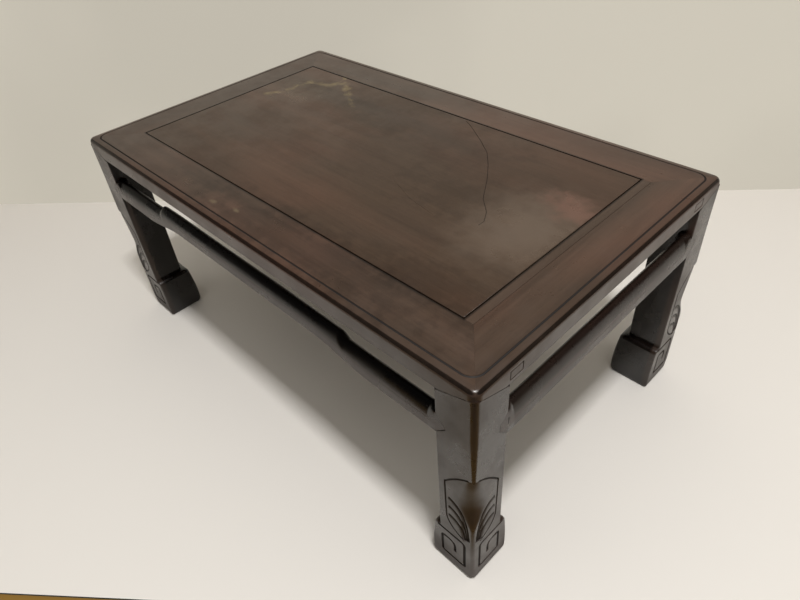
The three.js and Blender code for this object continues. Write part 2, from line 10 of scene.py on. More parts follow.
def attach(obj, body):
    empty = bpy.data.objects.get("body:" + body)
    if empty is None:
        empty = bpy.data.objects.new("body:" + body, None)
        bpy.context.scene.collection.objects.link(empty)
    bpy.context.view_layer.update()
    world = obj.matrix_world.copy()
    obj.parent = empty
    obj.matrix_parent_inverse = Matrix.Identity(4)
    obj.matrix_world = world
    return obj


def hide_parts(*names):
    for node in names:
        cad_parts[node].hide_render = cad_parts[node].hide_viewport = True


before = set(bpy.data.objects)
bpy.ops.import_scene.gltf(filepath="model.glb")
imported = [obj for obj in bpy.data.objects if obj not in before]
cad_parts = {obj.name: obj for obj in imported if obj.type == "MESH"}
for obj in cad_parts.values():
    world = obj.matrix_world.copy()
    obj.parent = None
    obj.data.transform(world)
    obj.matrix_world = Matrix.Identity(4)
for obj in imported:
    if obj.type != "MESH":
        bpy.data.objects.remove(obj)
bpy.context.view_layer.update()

# Sizes below are in millimetres, as in the part's source, and become metres in mm().

# The stand
LENGTH = 600
WIDTH = 360
HEIGHT = 260
HALF_LENGTH = LENGTH / 2
HALF_WIDTH = WIDTH / 2
HAIRLINE = 0.12
MITRE_GAP = 0.05
SEEN_GAP = 0.3
TENON_CLEARANCE = 0.2
OVERSHOOT = 2
CLOSE = 0.01
MERGE_REACH = 0.001
SAW_REACH = 0.0001
GOUGE_STEPS = 2

# Frame. A rounded edge is a width and a number of steps.
STILE_WIDTH = 51.5
LEFT_RAIL_WIDTH = 48
RIGHT_RAIL_WIDTH = 45
BAND_DEPTH = 20
BAND_BOTTOM = HEIGHT - BAND_DEPTH
FRAME_CORNER = (8, 10)
FRAME_UPPER_EDGE = (4.6, 7)
FRAME_LOWER_EDGE = (2, 3)
BEAD_STEPS = [(1.6, 0.3), (1.6, 0.15)]
INCISED_INSET = 9.2
INCISED_RADIUS = 11.5
INCISED_STEPS = 8
INCISED_TOOL_RADIUS = 1.1
INCISED_TOOL_LIFT = 0.2
INCISED_DARK_DEPTH = 0.4
PANEL_LEFT = -HALF_LENGTH + LEFT_RAIL_WIDTH
PANEL_RIGHT = HALF_LENGTH - RIGHT_RAIL_WIDTH
PANEL_HALF = HALF_WIDTH - STILE_WIDTH

# Through tenons of the stiles
THROUGH_WIDTH = 14
THROUGH_THICKNESS = 7.6
THROUGH_DROP = 7
THROUGH_ROOT = 3

# Panel and slip
PANEL_GAP = 1.3
PANEL_THICKNESS = 11
PANEL_BOTTOM = HEIGHT - PANEL_THICKNESS
TONGUE_REACH = 6
TONGUE_TOP = HEIGHT - 5.4
TONGUE_BOTTOM = TONGUE_TOP - 4
SLIP_WIDTH = 9.2
SLIP_LEFT = PANEL_RIGHT - SLIP_WIDTH
SLIP_MIDDLE = PANEL_RIGHT - SLIP_WIDTH / 2
SLIP_OUTER_EDGE = (0.5, 2)
SLIP_INNER_EDGE = (0.25, 2)
PANEL_EDGE = (0.5, 3)

# Battens under the panel
BATTEN_SPACING = 230
BATTEN_WIDTH = 24
BATTEN_EDGE = (1.5, 1)
DOVETAIL_DEPTH = 4
DOVETAIL_SHOULDER = 3
DOVETAIL_FLARE = 1.2
DOVETAIL_STOP = 4
DOVETAIL_END_GAP = 1
BATTEN_TENON_LENGTH = 12
BATTEN_TENON_SHOULDER = 4
BATTEN_TENON_THICKNESS = 5.6
BATTEN_TENON_SHY = 2.2

# Legs
LEG_WIDTH = 38
SEAT_OUTER = HEIGHT - 7.3
SEAT_SLOPE = 0.342
ARRIS_TOP_RADIUS = 5
ARRIS_LOW_RADIUS = 2.4
ARRIS_TAPER = 51
LEG_SIDE_EASE = 1.2
LEG_INNER_EASE = 2.5
FOOT_WIDTH_TOP = 45.5
FOOT_WIDTH_BOTTOM = 48
FOOT_LEDGE_INNER = 58
FOOT_LEDGE_OUTER = 52
FOOT_BULGE = 16
FOOT_EDGE_RADIUS = 6
FOOT_EDGE_INSET = 3
FOOT_CORNER_RADIUS = 5
FOOT_SIDE_EASE = 2
FOOT_ARRIS_RADIUS = 3.5
SOLE_ARRIS_RADIUS = 5.5
LAPPET_TOP = 158
HOLLOW_BOTTOM = 84
HOLLOW_DEEPEST = 0.42
HOLLOW_RADIUS = 17
HOLLOW_STEP = 3.5
# Steps round a section of a leg and levels up the leg
ARRIS_STEPS = 20
SIDE_STEPS = 4
INNER_STEPS = 6
SOLE_LEVELS = 8
FOOT_LEVELS = 10
LEDGE_LEVELS = 8
SHAFT_LEVELS = 50
TAPER_LEVELS = 10

# Stretchers
LONG_BOTTOM = 190.5
LONG_DEPTH = 23.3
LONG_FLAT = 7.5
SHORT_BOTTOM = 185
SHORT_DEPTH = 26.8
SHORT_FLAT = 7
STRETCHER_THICKNESS = 14
STRETCHER_EASE = 0.8
PROFILE_STEPS = 24
EASE_STEPS = 4
FLARE_STEPS = 6
HUMP_LEAD_STEPS = 6
HUMP_STEPS = 8
HUMP_TOP_RISE = 6.5
HUMP_TOP_START = 142
HUMP_TOP_RUN = 9
HUMP_BOTTOM_RISE = 9.5
HUMP_BOTTOM_START = 110
HUMP_BOTTOM_RUN = 75
FLARE_RUN = 9
FLARE_SQUARENESS = 7
SHOULDER_REACH = 9
SHOULDER_THICKNESS = 5.5
SHOULDER_TIP = 0.42
SHOULDER_LOW_SHY = 1.2
SHOULDER_HIGH_SHY = 0.8
TENON_LENGTH = 17
TENON_THICKNESS = 6
TENON_INSET = 5
TENON_SHY = 4.5
JOINT_OVERLAP = 0.5

CORNERS = {
    "front_right": (1, -1),
    "front_left": (-1, -1),
    "back_right": (1, 1),
    "back_left": (-1, 1),
}


def mm(value):
    return value * 0.001


# Camera
CAMERA_PLACE = (0.4651, -0.3840, 0.5717)
CAMERA_TURN = (49.105, 3.849, 45.114)
CAMERA_LENS = 27.903


def add_camera():
    data = bpy.data.cameras.new("photo_camera")
    data.sensor_fit = "HORIZONTAL"
    data.sensor_width = 36
    data.lens = CAMERA_LENS
    data.clip_start = 0.01
    data.clip_end = 50
    camera = bpy.data.objects.new("photo_camera", data)
    camera.location = CAMERA_PLACE
    camera.rotation_euler = [math.radians(angle) for angle in CAMERA_TURN]
    bpy.context.scene.collection.objects.link(camera)
    bpy.context.scene.camera = camera


add_camera()


# Selecting and editing
def activate(piece):
    bpy.ops.object.select_all(action="DESELECT")
    piece.select_set(True)
    bpy.context.view_layer.objects.active = piece


@contextmanager
def editing(piece, kind="EDGE"):
    activate(piece)
    bpy.ops.object.mode_set(mode="EDIT")
    bpy.ops.mesh.select_mode(type=kind)
    bpy.ops.mesh.select_all(action="DESELECT")
    yield
    bpy.ops.object.mode_set(mode="OBJECT")


def pick(piece, kind, test):
    """Selects the vertices, edges or faces whose corners, in millimetres, all pass the test."""
    mesh = bmesh.from_edit_mesh(piece.data)
    if kind == "VERT":
        chosen = [vert for vert in mesh.verts if test(vert.co * 1000)]
    else:
        parts = mesh.edges if kind == "EDGE" else mesh.faces
        chosen = [part for part in parts if all(test(vert.co * 1000) for vert in part.verts)]
    for part in chosen:
        part.select_set(True)
    bmesh.update_edit_mesh(piece.data)


def block(name, x, y, z):
    """A cube drawn out to the ranges x, y and z."""
    low = Vector([mm(min(pair)) for pair in (x, y, z)])
    high = Vector([mm(max(pair)) for pair in (x, y, z)])
    bpy.ops.object.select_all(action="DESELECT")
    bpy.ops.mesh.primitive_cube_add(size=1, location=(low + high) / 2, scale=high - low)
    piece = bpy.context.active_object
    piece.name = name
    bpy.ops.object.transform_apply(location=True, rotation=True, scale=True)
    return piece


def saw(piece, point, normal, keep_both=False):
    """Cuts with a plane and, unless both are kept, throws away the side the normal points to."""
    with editing(piece):
        bpy.ops.mesh.select_all(action="SELECT")
        bpy.ops.mesh.bisect(
            plane_co=[mm(value) for value in point],
            plane_no=normal,
            use_fill=not keep_both,
            clear_outer=not keep_both,
            threshold=mm(SAW_REACH),
        )


def round_off(width, steps):
    """Rounds the selected edges."""
    bpy.ops.mesh.bevel(offset=mm(width), segments=steps, affect="EDGES")


def soften(piece, width, steps, test):
    """Rounds the edges that pass the test."""
    with editing(piece):
        pick(piece, "EDGE", test)
        round_off(width, steps)


def apply_boolean(piece, tools, operation):
    for tool in tools:
        modifier = piece.modifiers.new("joinery", "BOOLEAN")
        modifier.operation = operation
        modifier.solver = "MANIFOLD"
        modifier.object = tool
        activate(piece)
        bpy.ops.object.modifier_apply(modifier=modifier.name)
        bpy.data.objects.remove(tool)
    return piece


def cut_away(piece, *tools):
    return apply_boolean(piece, tools, "DIFFERENCE")


def glue(piece, *parts):
    """Joins parts to a piece as one object, with no change to their faces."""
    activate(piece)
    for part in parts:
        part.select_set(True)
    bpy.ops.object.join()
    return piece


def copy_piece(piece, name):
    copied = piece.copy()
    copied.data = piece.data.copy()
    copied.name = name
    bpy.context.scene.collection.objects.link(copied)
    return copied


def mirrored(piece, name, side_x, side_y):
    """A copy on another corner, with its faces turned outward again."""
    copied = copy_piece(piece, name)
    copied.data.transform(Matrix.Diagonal((side_x, side_y, 1, 1)))
    if side_x * side_y < 0:
        copied.data.flip_normals()
    return copied


def drawn_line(points, radius, closed=False, swell=1.0):
    """A round gouge that follows the points and grows to swell times its radius at the end."""
    curve = bpy.data.curves.new("gouge", "CURVE")
    curve.dimensions = "3D"
    curve.bevel_depth = mm(radius)
    curve.bevel_resolution = GOUGE_STEPS
    curve.use_fill_caps = not closed
    spline = curve.splines.new("POLY")
    spline.points.add(len(points) - 1)
    for place, point, size in zip(spline.points, points, spread(1, swell, len(points) - 1)):
        place.co = (*[mm(value) for value in point], 1)
        place.radius = size
    spline.use_cyclic_u = closed
    tool = bpy.data.objects.new("gouge", curve)
    bpy.context.scene.collection.objects.link(tool)
    activate(tool)
    bpy.ops.object.convert(target="MESH")
    tool = bpy.context.active_object
    with editing(tool, "FACE"):
        bpy.ops.mesh.select_all(action="SELECT")
        bpy.ops.mesh.remove_doubles(threshold=mm(MERGE_REACH))
        bpy.ops.mesh.normals_make_consistent(inside=False)
    return tool


# Curves
def ease(t):
    t = min(max(t, 0), 1)
    return t * t * (3 - 2 * t)


def spread(low, high, count):
    return [low + (high - low) * i / count for i in range(count + 1)]


def quarter(x, y, radius, start, steps):
    angles = [math.radians(angle) for angle in spread(start, start + 90, steps)]
    return [(x + radius * math.cos(angle), y + radius * math.sin(angle)) for angle in angles]


def round_rectangle(half_x, half_y, radius, steps):
    x, y = half_x - radius, half_y - radius
    corners = [(x, y, 0), (-x, y, 90), (-x, -y, 180), (x, -y, 270)]
    return [point for *centre, start in corners for point in quarter(*centre, radius, start, steps)]


# Legs, at the front right corner: u and v run inward from the two outer faces
def seat_height(u, v):
    return SEAT_OUTER - SEAT_SLOPE * (u + v)


def corner_block(name, u, v, z, side_x=1, side_y=-1):
    x = [side_x * (HALF_LENGTH - value) for value in u]
    y = [side_y * (HALF_WIDTH - value) for value in v]
    return block(name, x, y, z)


def seat_plane(side_x, side_y, lift):
    """A point on the seat of a leg and the direction square to it, upward."""
    point = (side_x * HALF_LENGTH, side_y * HALF_WIDTH, SEAT_OUTER + lift)
    normal = (-SEAT_SLOPE * side_x, -SEAT_SLOPE * side_y, 1)
    return point, normal


def over_seat(side_x, side_y):
    """What is sawn off a leg blank over its seat."""
    reach = (-OVERSHOOT, LEG_WIDTH + OVERSHOOT)
    tool = corner_block("waste", reach, reach, (BAND_BOTTOM, HEIGHT + OVERSHOOT), side_x, side_y)
    point, normal = seat_plane(side_x, side_y, 0)
    saw(tool, point, [-value for value in normal])
    return tool


def housing(side_x, side_y):
    """The room for a leg head in the frame."""
    reach = (-OVERSHOOT, LEG_WIDTH + HAIRLINE)
    tool = corner_block("waste", reach, reach, (BAND_BOTTOM - OVERSHOOT, HEIGHT), side_x, side_y)
    point, normal = seat_plane(side_x, side_y, HAIRLINE)
    saw(tool, point, normal)
    return tool


# Joints that show as a thin dark line. A path is places on a face: a distance in from the
# outer arris and a height.
JOINT_LINE_RADIUS = 0.8
SEAT_LINE_RADIUS = 0.35
SEAT_LINE_START = 8.5
SEAT_PATH = [(s, seat_height(s, 0)) for s in (SEAT_LINE_START, LEG_WIDTH + OVERSHOOT)]


def shoulder_path(bottom, depth):
    """The joint line round the pointed shoulder of a stretcher."""
    line = LEG_WIDTH + OVERSHOOT / 2
    return [
        (line, bottom + depth - SHOULDER_HIGH_SHY + SEEN_GAP),
        (LEG_WIDTH - SHOULDER_REACH - SEEN_GAP, bottom + depth * SHOULDER_TIP),
        (line, bottom + SHOULDER_LOW_SHY - SEEN_GAP),
    ]


def tenon_path():
    """The joint line round the end of a through tenon, on the short sides."""
    near, far = STILE_WIDTH + SEEN_GAP / 2, STILE_WIDTH - THROUGH_WIDTH - SEEN_GAP / 2
    top = HEIGHT - THROUGH_DROP + SEEN_GAP / 2
    low = HEIGHT - THROUGH_DROP - THROUGH_THICKNESS - SEEN_GAP / 2
    return [(near, top), (far, top), (far, low), (near, low)]


TENON_PATH = tenon_path()
FRONT_JOINTS = [SEAT_PATH, shoulder_path(LONG_BOTTOM, LONG_DEPTH)]
SIDE_JOINTS = [SEAT_PATH, shoulder_path(SHORT_BOTTOM, SHORT_DEPTH)]


def on_side(path, face, side_x, side_y):
    """The places of a path on the long side (0) or the short side (1) of the stand."""
    places = []
    for s, z in path:
        u, v = (s, 0) if face == 0 else (0, s)
        places.append((side_x * (HALF_LENGTH - u), side_y * (HALF_WIDTH - v), z))
    return places


def seat_lines(side_x, side_y):
    return [drawn_line(on_side(SEAT_PATH, face, side_x, side_y), SEAT_LINE_RADIUS) for face in (0, 1)]


def tenon_line(side_x, side_y):
    return drawn_line(on_side(TENON_PATH, 1, side_x, side_y), JOINT_LINE_RADIUS, closed=True)


def path_distance(path, s, z):
    """How far a place on a face is from a path."""
    place = Vector((s, z))
    distances = []
    for start, end in zip(path, path[1:]):
        start, end = Vector(start), Vector(end)
        t = (place - start).dot(end - start) / (end - start).length_squared
        distances.append((place - start.lerp(end, min(max(t, 0), 1))).length)
    return min(distances)


def joint_share(place):
    """0 on a face of the stand and 1 at the floor of a joint line."""
    u, v = HALF_LENGTH - abs(place.x), HALF_WIDTH - abs(place.y)
    share = 0
    for behind, s, paths in ((v, u, FRONT_JOINTS), (u, v, SIDE_JOINTS + [TENON_PATH + TENON_PATH[:1]])):
        near = min(path_distance(path, s, place.z) for path in paths) < JOINT_LINE_RADIUS
        if near and behind < 2 * JOINT_LINE_RADIUS:
            share = max(share, behind / SEAT_LINE_RADIUS)
    return min(share, 1)


# Frame: one ring, shaped whole, then sawn along its mitres
def through_tenon(side_x, side_y, grow):
    inner = PANEL_RIGHT if side_x > 0 else PANEL_LEFT
    top = HEIGHT - THROUGH_DROP
    return block(
        "through_tenon",
        (inner - side_x * THROUGH_ROOT, side_x * (HALF_LENGTH + grow)),
        (side_y * (PANEL_HALF - grow), side_y * (PANEL_HALF + THROUGH_WIDTH + grow)),
        (top - THROUGH_THICKNESS - grow, top + grow),
    )


def frame_ring():
    crown = HEIGHT - sum(rise for _, rise in BEAD_STEPS)
    ring = block("frame", (-HALF_LENGTH, HALF_LENGTH), (-HALF_WIDTH, HALF_WIDTH), (BAND_BOTTOM, crown))
    with editing(ring):
        mesh = bmesh.from_edit_mesh(ring.data)
        for edge in mesh.edges:
            if abs(edge.verts[0].co.z - edge.verts[1].co.z) > mm(CLOSE):
                edge.select_set(True)
        bmesh.update_edit_mesh(ring.data)
        round_off(*FRAME_CORNER)
    soften(ring, *FRAME_LOWER_EDGE, lambda place: place.z < BAND_BOTTOM + CLOSE)
    soften(ring, *FRAME_UPPER_EDGE, lambda place: place.z > crown - CLOSE)
    with editing(ring, "FACE"):
        pick(ring, "FACE", lambda place: place.z > crown - CLOSE)
        for inset, rise in BEAD_STEPS:
            bpy.ops.mesh.inset(thickness=mm(inset), depth=mm(rise))
    opening = block(
        "opening",
        (PANEL_LEFT, PANEL_RIGHT),
        (-PANEL_HALF, PANEL_HALF),
        (BAND_BOTTOM - OVERSHOOT, HEIGHT + OVERSHOOT),
    )
    halves = (HALF_LENGTH - INCISED_INSET, HALF_WIDTH - INCISED_INSET)
    level = HEIGHT + INCISED_TOOL_LIFT
    line = [(x, y, level) for x, y in round_rectangle(*halves, INCISED_RADIUS, INCISED_STEPS)]
    cut_away(ring, opening, drawn_line(line, INCISED_TOOL_RADIUS, closed=True), panel_groove())
    for sides in CORNERS.values():
        cut_away(ring, housing(*sides), *seat_lines(*sides))
    return ring


def tongue_block(name, grow, rise):
    """The panel's tongue or, grown outward, up and down, the room for it."""
    reach = TONGUE_REACH + grow
    return block(
        name,
        (PANEL_LEFT - reach, PANEL_RIGHT + reach),
        (-PANEL_HALF - reach, PANEL_HALF + reach),
        (TONGUE_BOTTOM - rise, TONGUE_TOP + rise),
    )


def panel_groove():
    return tongue_block("groove", TENON_CLEARANCE, HAIRLINE)


def mitre_normal(side_x, side_y):
    """Square to a corner's mitre, from the stile's side to the rail's side."""
    rail_width = RIGHT_RAIL_WIDTH if side_x > 0 else LEFT_RAIL_WIDTH
    return Vector((side_x * STILE_WIDTH, -side_y * rail_width, 0)).normalized()


def make_stile(ring, name, side_y):
    stile = copy_piece(ring, name)
    saw(stile, (0, 0, 0), (0, -side_y, 0))
    for side_x, inner in ((-1, PANEL_LEFT), (1, PANEL_RIGHT)):
        normal = mitre_normal(side_x, side_y)
        place = Vector((inner, side_y * PANEL_HALF, 0)) - normal * MITRE_GAP
        saw(stile, place, normal)
    cut_away(stile, *[batten_tenon(x, TENON_CLEARANCE) for x in BATTEN_PLACES.values()])
    ends = [
        cut_away(through_tenon(side_x, side_y, 0), panel_groove(), tenon_line(side_x, side_y))
        for side_x in (-1, 1)
    ]
    return glue(stile, *ends)


def make_rail(ring, name, side_x):
    rail = copy_piece(ring, name)
    inner = PANEL_RIGHT if side_x > 0 else PANEL_LEFT
    for side_y in (-1, 1):
        saw(rail, (inner, side_y * PANEL_HALF, 0), -mitre_normal(side_x, side_y))
    for side_y in (-1, 1):
        cut_away(rail, through_tenon(side_x, side_y, SEEN_GAP), tenon_line(side_x, side_y))
    return rail


def make_frame():
    ring = frame_ring()
    members = {
        "stile_front": make_stile(ring, "front_stile", -1),
        "stile_back": make_stile(ring, "back_stile", 1),
        "rail_left": make_rail(ring, "left_rail", -1),
        "rail_right": make_rail(ring, "right_rail", 1),
    }
    bpy.data.objects.remove(ring)
    for member in members.values():
        mark_cuts(member, incised_share, joint_share)
    return members


# Battens, panel and slip
BATTEN_MIDDLE = (PANEL_LEFT + SLIP_LEFT) / 2
BATTEN_PLACES = {
    "batten_left": BATTEN_MIDDLE - BATTEN_SPACING / 2,
    "batten_right": BATTEN_MIDDLE + BATTEN_SPACING / 2,
}


# Fine cracks and scratches in the face of the panel: a path and the radius of the cut
PANEL_MARKS = [
    (
        [(32, 124), (42, 119), (74, 98), (97, 81), (115, 61)]
        + [(133, 37), (151, 9), (168, -7), (176, -20), (176, -28)],
        0.36,
    ),
    ([(-152, 104), (-138, 94), (-113, 77)], 0.18),
    ([(62, -20), (96, -34), (133, -41)], 0.14),
]
PANEL_MARK_MARGIN = 2
PANEL_MARK_DEPTH = 0.34


def batten_tenon(x, grow):
    half = BATTEN_WIDTH / 2 - BATTEN_TENON_SHOULDER + grow
    reach = PANEL_HALF + BATTEN_TENON_LENGTH + grow
    low = BAND_BOTTOM + BATTEN_TENON_SHY
    return block(
        "batten_tenon",
        (x - half, x + half),
        (-reach, reach),
        (low - grow, low + BATTEN_TENON_THICKNESS + grow),
    )


def dovetail(x, grow, half_run):
    """The tapered ridge of a batten that slides into the panel."""
    neck = BATTEN_WIDTH / 2 - DOVETAIL_SHOULDER + grow
    top = PANEL_BOTTOM + DOVETAIL_DEPTH + grow
    low = PANEL_BOTTOM - JOINT_OVERLAP
    ridge = block("dovetail", (x - neck, x + neck), (-half_run, half_run), (low, top))
    saw(ridge, (0, 0, PANEL_BOTTOM), (0, 0, 1), keep_both=True)
    with editing(ridge, "VERT"):
        pick(ridge, "VERT", lambda place: place.z > top - CLOSE)
        bpy.ops.transform.resize(
            value=((neck + DOVETAIL_FLARE) / neck, 1, 1),
            center_override=(mm(x), 0, mm(top)),
        )
    return ridge


def make_batten(name, x):
    half = BATTEN_WIDTH / 2
    run = PANEL_HALF - HAIRLINE
    batten = block(name, (x - half, x + half), (-run, run), (BAND_BOTTOM, PANEL_BOTTOM - HAIRLINE))
    soften(batten, *BATTEN_EDGE, lambda place: place.z < BAND_BOTTOM + CLOSE)
    return glue(batten, dovetail(x, 0, PANEL_HALF - DOVETAIL_STOP), batten_tenon(x, 0))


def make_panel():
    panel = block(
        "floating_panel",
        (PANEL_LEFT + PANEL_GAP, SLIP_LEFT - PANEL_GAP),
        (-PANEL_HALF + PANEL_GAP, PANEL_HALF - PANEL_GAP),
        (PANEL_BOTTOM, HEIGHT),
    )
    soften(panel, *PANEL_EDGE, lambda place: place.z > HEIGHT - CLOSE)
    apply_boolean(panel, [tongue_block("tongue", -PANEL_GAP, 0)], "UNION")
    slot_run = PANEL_HALF - DOVETAIL_STOP + DOVETAIL_END_GAP
    slots = [dovetail(x, HAIRLINE, slot_run) for x in BATTEN_PLACES.values()]
    marks = [drawn_line([(x, y, HEIGHT) for x, y in path], radius) for path, radius in PANEL_MARKS]
    cut_away(panel, *slots, *marks)
    mark_cuts(panel, panel_mark_share)
    return panel


def make_slip():
    slip = block(
        "edge_slip",
        (SLIP_LEFT, PANEL_RIGHT - SEEN_GAP),
        (-PANEL_HALF + HAIRLINE, PANEL_HALF - HAIRLINE),
        (TONGUE_TOP + HAIRLINE, HEIGHT),
    )
    soften(slip, *SLIP_OUTER_EDGE, lambda place: place.z > HEIGHT - CLOSE and place.x > SLIP_MIDDLE)
    soften(slip, *SLIP_INNER_EDGE, lambda place: place.z > HEIGHT - CLOSE and place.x < SLIP_MIDDLE)
    return slip


# Legs
def arris_radius(z):
    if z >= LAPPET_TOP:
        softening = min((z - LAPPET_TOP) / ARRIS_TAPER, 1)
        return ARRIS_LOW_RADIUS + (ARRIS_TOP_RADIUS - ARRIS_LOW_RADIUS) * softening
    if z <= HOLLOW_BOTTOM:
        return FOOT_ARRIS_RADIUS
    t = (z - HOLLOW_BOTTOM) / (LAPPET_TOP - HOLLOW_BOTTOM)
    if t < HOLLOW_DEEPEST:
        return FOOT_ARRIS_RADIUS + (HOLLOW_RADIUS - FOOT_ARRIS_RADIUS) * ease(t / HOLLOW_DEEPEST)
    step = ARRIS_TOP_RADIUS + HOLLOW_STEP
    return HOLLOW_RADIUS + (step - HOLLOW_RADIUS) * ease((t - HOLLOW_DEEPEST) / (1 - HOLLOW_DEEPEST))


def leg_reach(z):
    if z >= FOOT_LEDGE_INNER:
        return LEG_WIDTH
    if z >= FOOT_LEDGE_OUTER:
        t = (FOOT_LEDGE_INNER - z) / (FOOT_LEDGE_INNER - FOOT_LEDGE_OUTER)
        return LEG_WIDTH + (FOOT_WIDTH_TOP - LEG_WIDTH) * math.sqrt(1 - (1 - t) ** 2)
    t = min((FOOT_LEDGE_OUTER - z) / (FOOT_LEDGE_OUTER - FOOT_BULGE), 1)
    return FOOT_WIDTH_TOP + (FOOT_WIDTH_BOTTOM - FOOT_WIDTH_TOP) * math.sin(t * math.pi / 2)


def leg_section(z, inset, arris):
    reach = leg_reach(z) - inset
    on_foot = z < FOOT_LEDGE_INNER
    side = FOOT_SIDE_EASE if on_foot else LEG_SIDE_EASE
    inner = FOOT_CORNER_RADIUS if on_foot else LEG_INNER_EASE
    outline = (
        quarter(inset + arris, inset + arris, arris, 180, ARRIS_STEPS)
        + quarter(reach - side, inset + side, side, 270, SIDE_STEPS)
        + quarter(reach - inner, reach - inner, inner, 0, INNER_STEPS)
        + quarter(inset + side, reach - side, side, 90, SIDE_STEPS)
    )
    return [Vector((mm(HALF_LENGTH - u), mm(v - HALF_WIDTH), mm(z))) for u, v in outline]


def leg_levels():
    sole = [
        (
            FOOT_EDGE_RADIUS * (1 - math.cos(math.radians(angle))),
            FOOT_EDGE_INSET * (1 - math.sin(math.radians(angle))),
            SOLE_ARRIS_RADIUS,
        )
        for angle in spread(0, 90, SOLE_LEVELS)
    ]
    heights = (
        spread(FOOT_BULGE, FOOT_LEDGE_OUTER, FOOT_LEVELS)
        + spread(FOOT_LEDGE_OUTER, FOOT_LEDGE_INNER, LEDGE_LEVELS)[1:]
        + spread(FOOT_LEDGE_INNER, LAPPET_TOP - CLOSE, SHAFT_LEVELS)[1:]
        + spread(LAPPET_TOP, LAPPET_TOP + ARRIS_TAPER, TAPER_LEVELS)
        + [HEIGHT]
    )
    return sole + [(z, 0, arris_radius(z)) for z in heights]


def draw_out(name, sections):
    """A ring of points, drawn out section by section."""
    bpy.ops.object.select_all(action="DESELECT")
    bpy.ops.mesh.primitive_circle_add(vertices=len(sections[0]), radius=mm(LEG_WIDTH), fill_type="NGON")
    piece = bpy.context.active_object
    piece.name = name
    with editing(piece, "FACE"):
        bpy.ops.mesh.select_all(action="SELECT")
        for index, section in enumerate(sections):
            if index:
                bpy.ops.mesh.extrude_region_move()
            mesh = bmesh.from_edit_mesh(piece.data)
            ring = [vert for vert in mesh.verts if vert.select]
            for vert, place in zip(ring, section):
                vert.co = place
            bmesh.update_edit_mesh(piece.data)
        bpy.ops.mesh.select_all(action="SELECT")
        bpy.ops.mesh.normals_make_consistent(inside=False)
    return piece


def leg_blank():
    blank = draw_out("leg_front_right", [leg_section(*level) for level in leg_levels()])
    return cut_away(blank, over_seat(1, -1))


# Carving of a leg. A place is a distance in from the outer arris and a height.
LINE_RADIUS = 1.0
LINE_LIFT = -0.1
FLUTE_SWELL = 1.3
DISH_RADIUS = 4
DISH_LIFT = 3.2
DISH_SHIFT = 2.2
SCROLL_RADIUS = 1.6
LAPPET_SIDE = 30.5
LAPPET_SIDE_TOP = 133
LAPPET_LEAN = 1
LAPPET_TOE = (9.5, 62)
ARCH_RISE = 1
ARCH_BENDS = ((0.25, 0.07), (0.62, 0.38))
HOOK_BENDS = ((0.08, 0.55), (0.5, 0.8))
FLUTE_COUNT = 3
FLUTE_TOP = 113
FLUTE_SPACING = 13
FLUTE_SIDE = 27
FLUTE_ARRIS = 4.6
FLUTE_ARRIS_STEP = 2.2
FLUTE_END = 66.5
FLUTE_END_STEP = 1.2
FLUTE_BENDS = ((0.58, 0.03), (0.93, 0.32))
SCROLL_CORNERS = [(41, 55.5), (9.5, 55.5), (9.5, 16.5), (35.5, 16.5), (35.5, 44.5), (20.5, 44.5), (20.5, 29)]
SCROLL_BENDS = (4, 1.5, 1.5, 3.5, 7)
CURVE_STEPS = 14
HOOK_STEPS = 10
BEND_STEPS = 4
ARRIS_SHARE = 1 - math.sqrt(0.5)


def fall(s, z):
    """How far the surface lies behind the face, near the hollowed arris."""
    radius = arris_radius(z)
    return 0 if s >= radius else radius - math.sqrt(radius * radius - (radius - s) ** 2)


def on_leg(s, z, face, lift):
    """A point on the front face (0) or the side face (1) of the front right leg."""
    behind = fall(s, z) - lift
    u, v = (s, behind) if face == 0 else (behind, s)
    return (HALF_LENGTH - u, v - HALF_WIDTH, z)


def sweep(start, end, bends, count):
    """A curve between two places, whose bends are shares of the way across and down."""
    places = [start] + [
        tuple(a + (b - a) * share for a, b, share in zip(start, end, bend)) for bend in bends
    ] + [end]
    points = []
    for t in spread(0, 1, count):
        weights = ((1 - t) ** 3, 3 * t * (1 - t) ** 2, 3 * t * t * (1 - t), t ** 3)
        points.append(tuple(sum(w * place[axis] for w, place in zip(weights, places)) for axis in (0, 1)))
    return points


def bent(points, radii):
    """A run of straight lines with its corners rounded by the radii."""
    path = [points[0]]
    for before, corner, after, radius in zip(points, points[1:], points[2:], radii):
        corner = Vector(corner)
        back = (Vector(before) - corner).normalized() * radius
        ahead = (Vector(after) - corner).normalized() * radius
        for t in spread(0, 1, BEND_STEPS):
            path.append(tuple(corner + back * (1 - t) ** 2 + ahead * t ** 2))
    return path + [points[-1]]


SCROLL_PATH = bent(SCROLL_CORNERS, SCROLL_BENDS)


def lappet_half():
    point = (ARRIS_SHARE * ARRIS_LOW_RADIUS, LAPPET_TOP + ARCH_RISE)
    side_top = (LAPPET_SIDE, LAPPET_SIDE_TOP)
    side_low = (LAPPET_SIDE - LAPPET_LEAN, HOLLOW_BOTTOM)
    arch = sweep(point, side_top, ARCH_BENDS, CURVE_STEPS)
    return arch + sweep(side_low, LAPPET_TOE, HOOK_BENDS, HOOK_STEPS)


def flute_paths():
    paths = []
    for index in range(FLUTE_COUNT):
        start = (FLUTE_SIDE, FLUTE_TOP - index * FLUTE_SPACING)
        end = (FLUTE_ARRIS + index * FLUTE_ARRIS_STEP, FLUTE_END - index * FLUTE_END_STEP)
        paths.append(sweep(start, end, FLUTE_BENDS, CURVE_STEPS))
    return paths


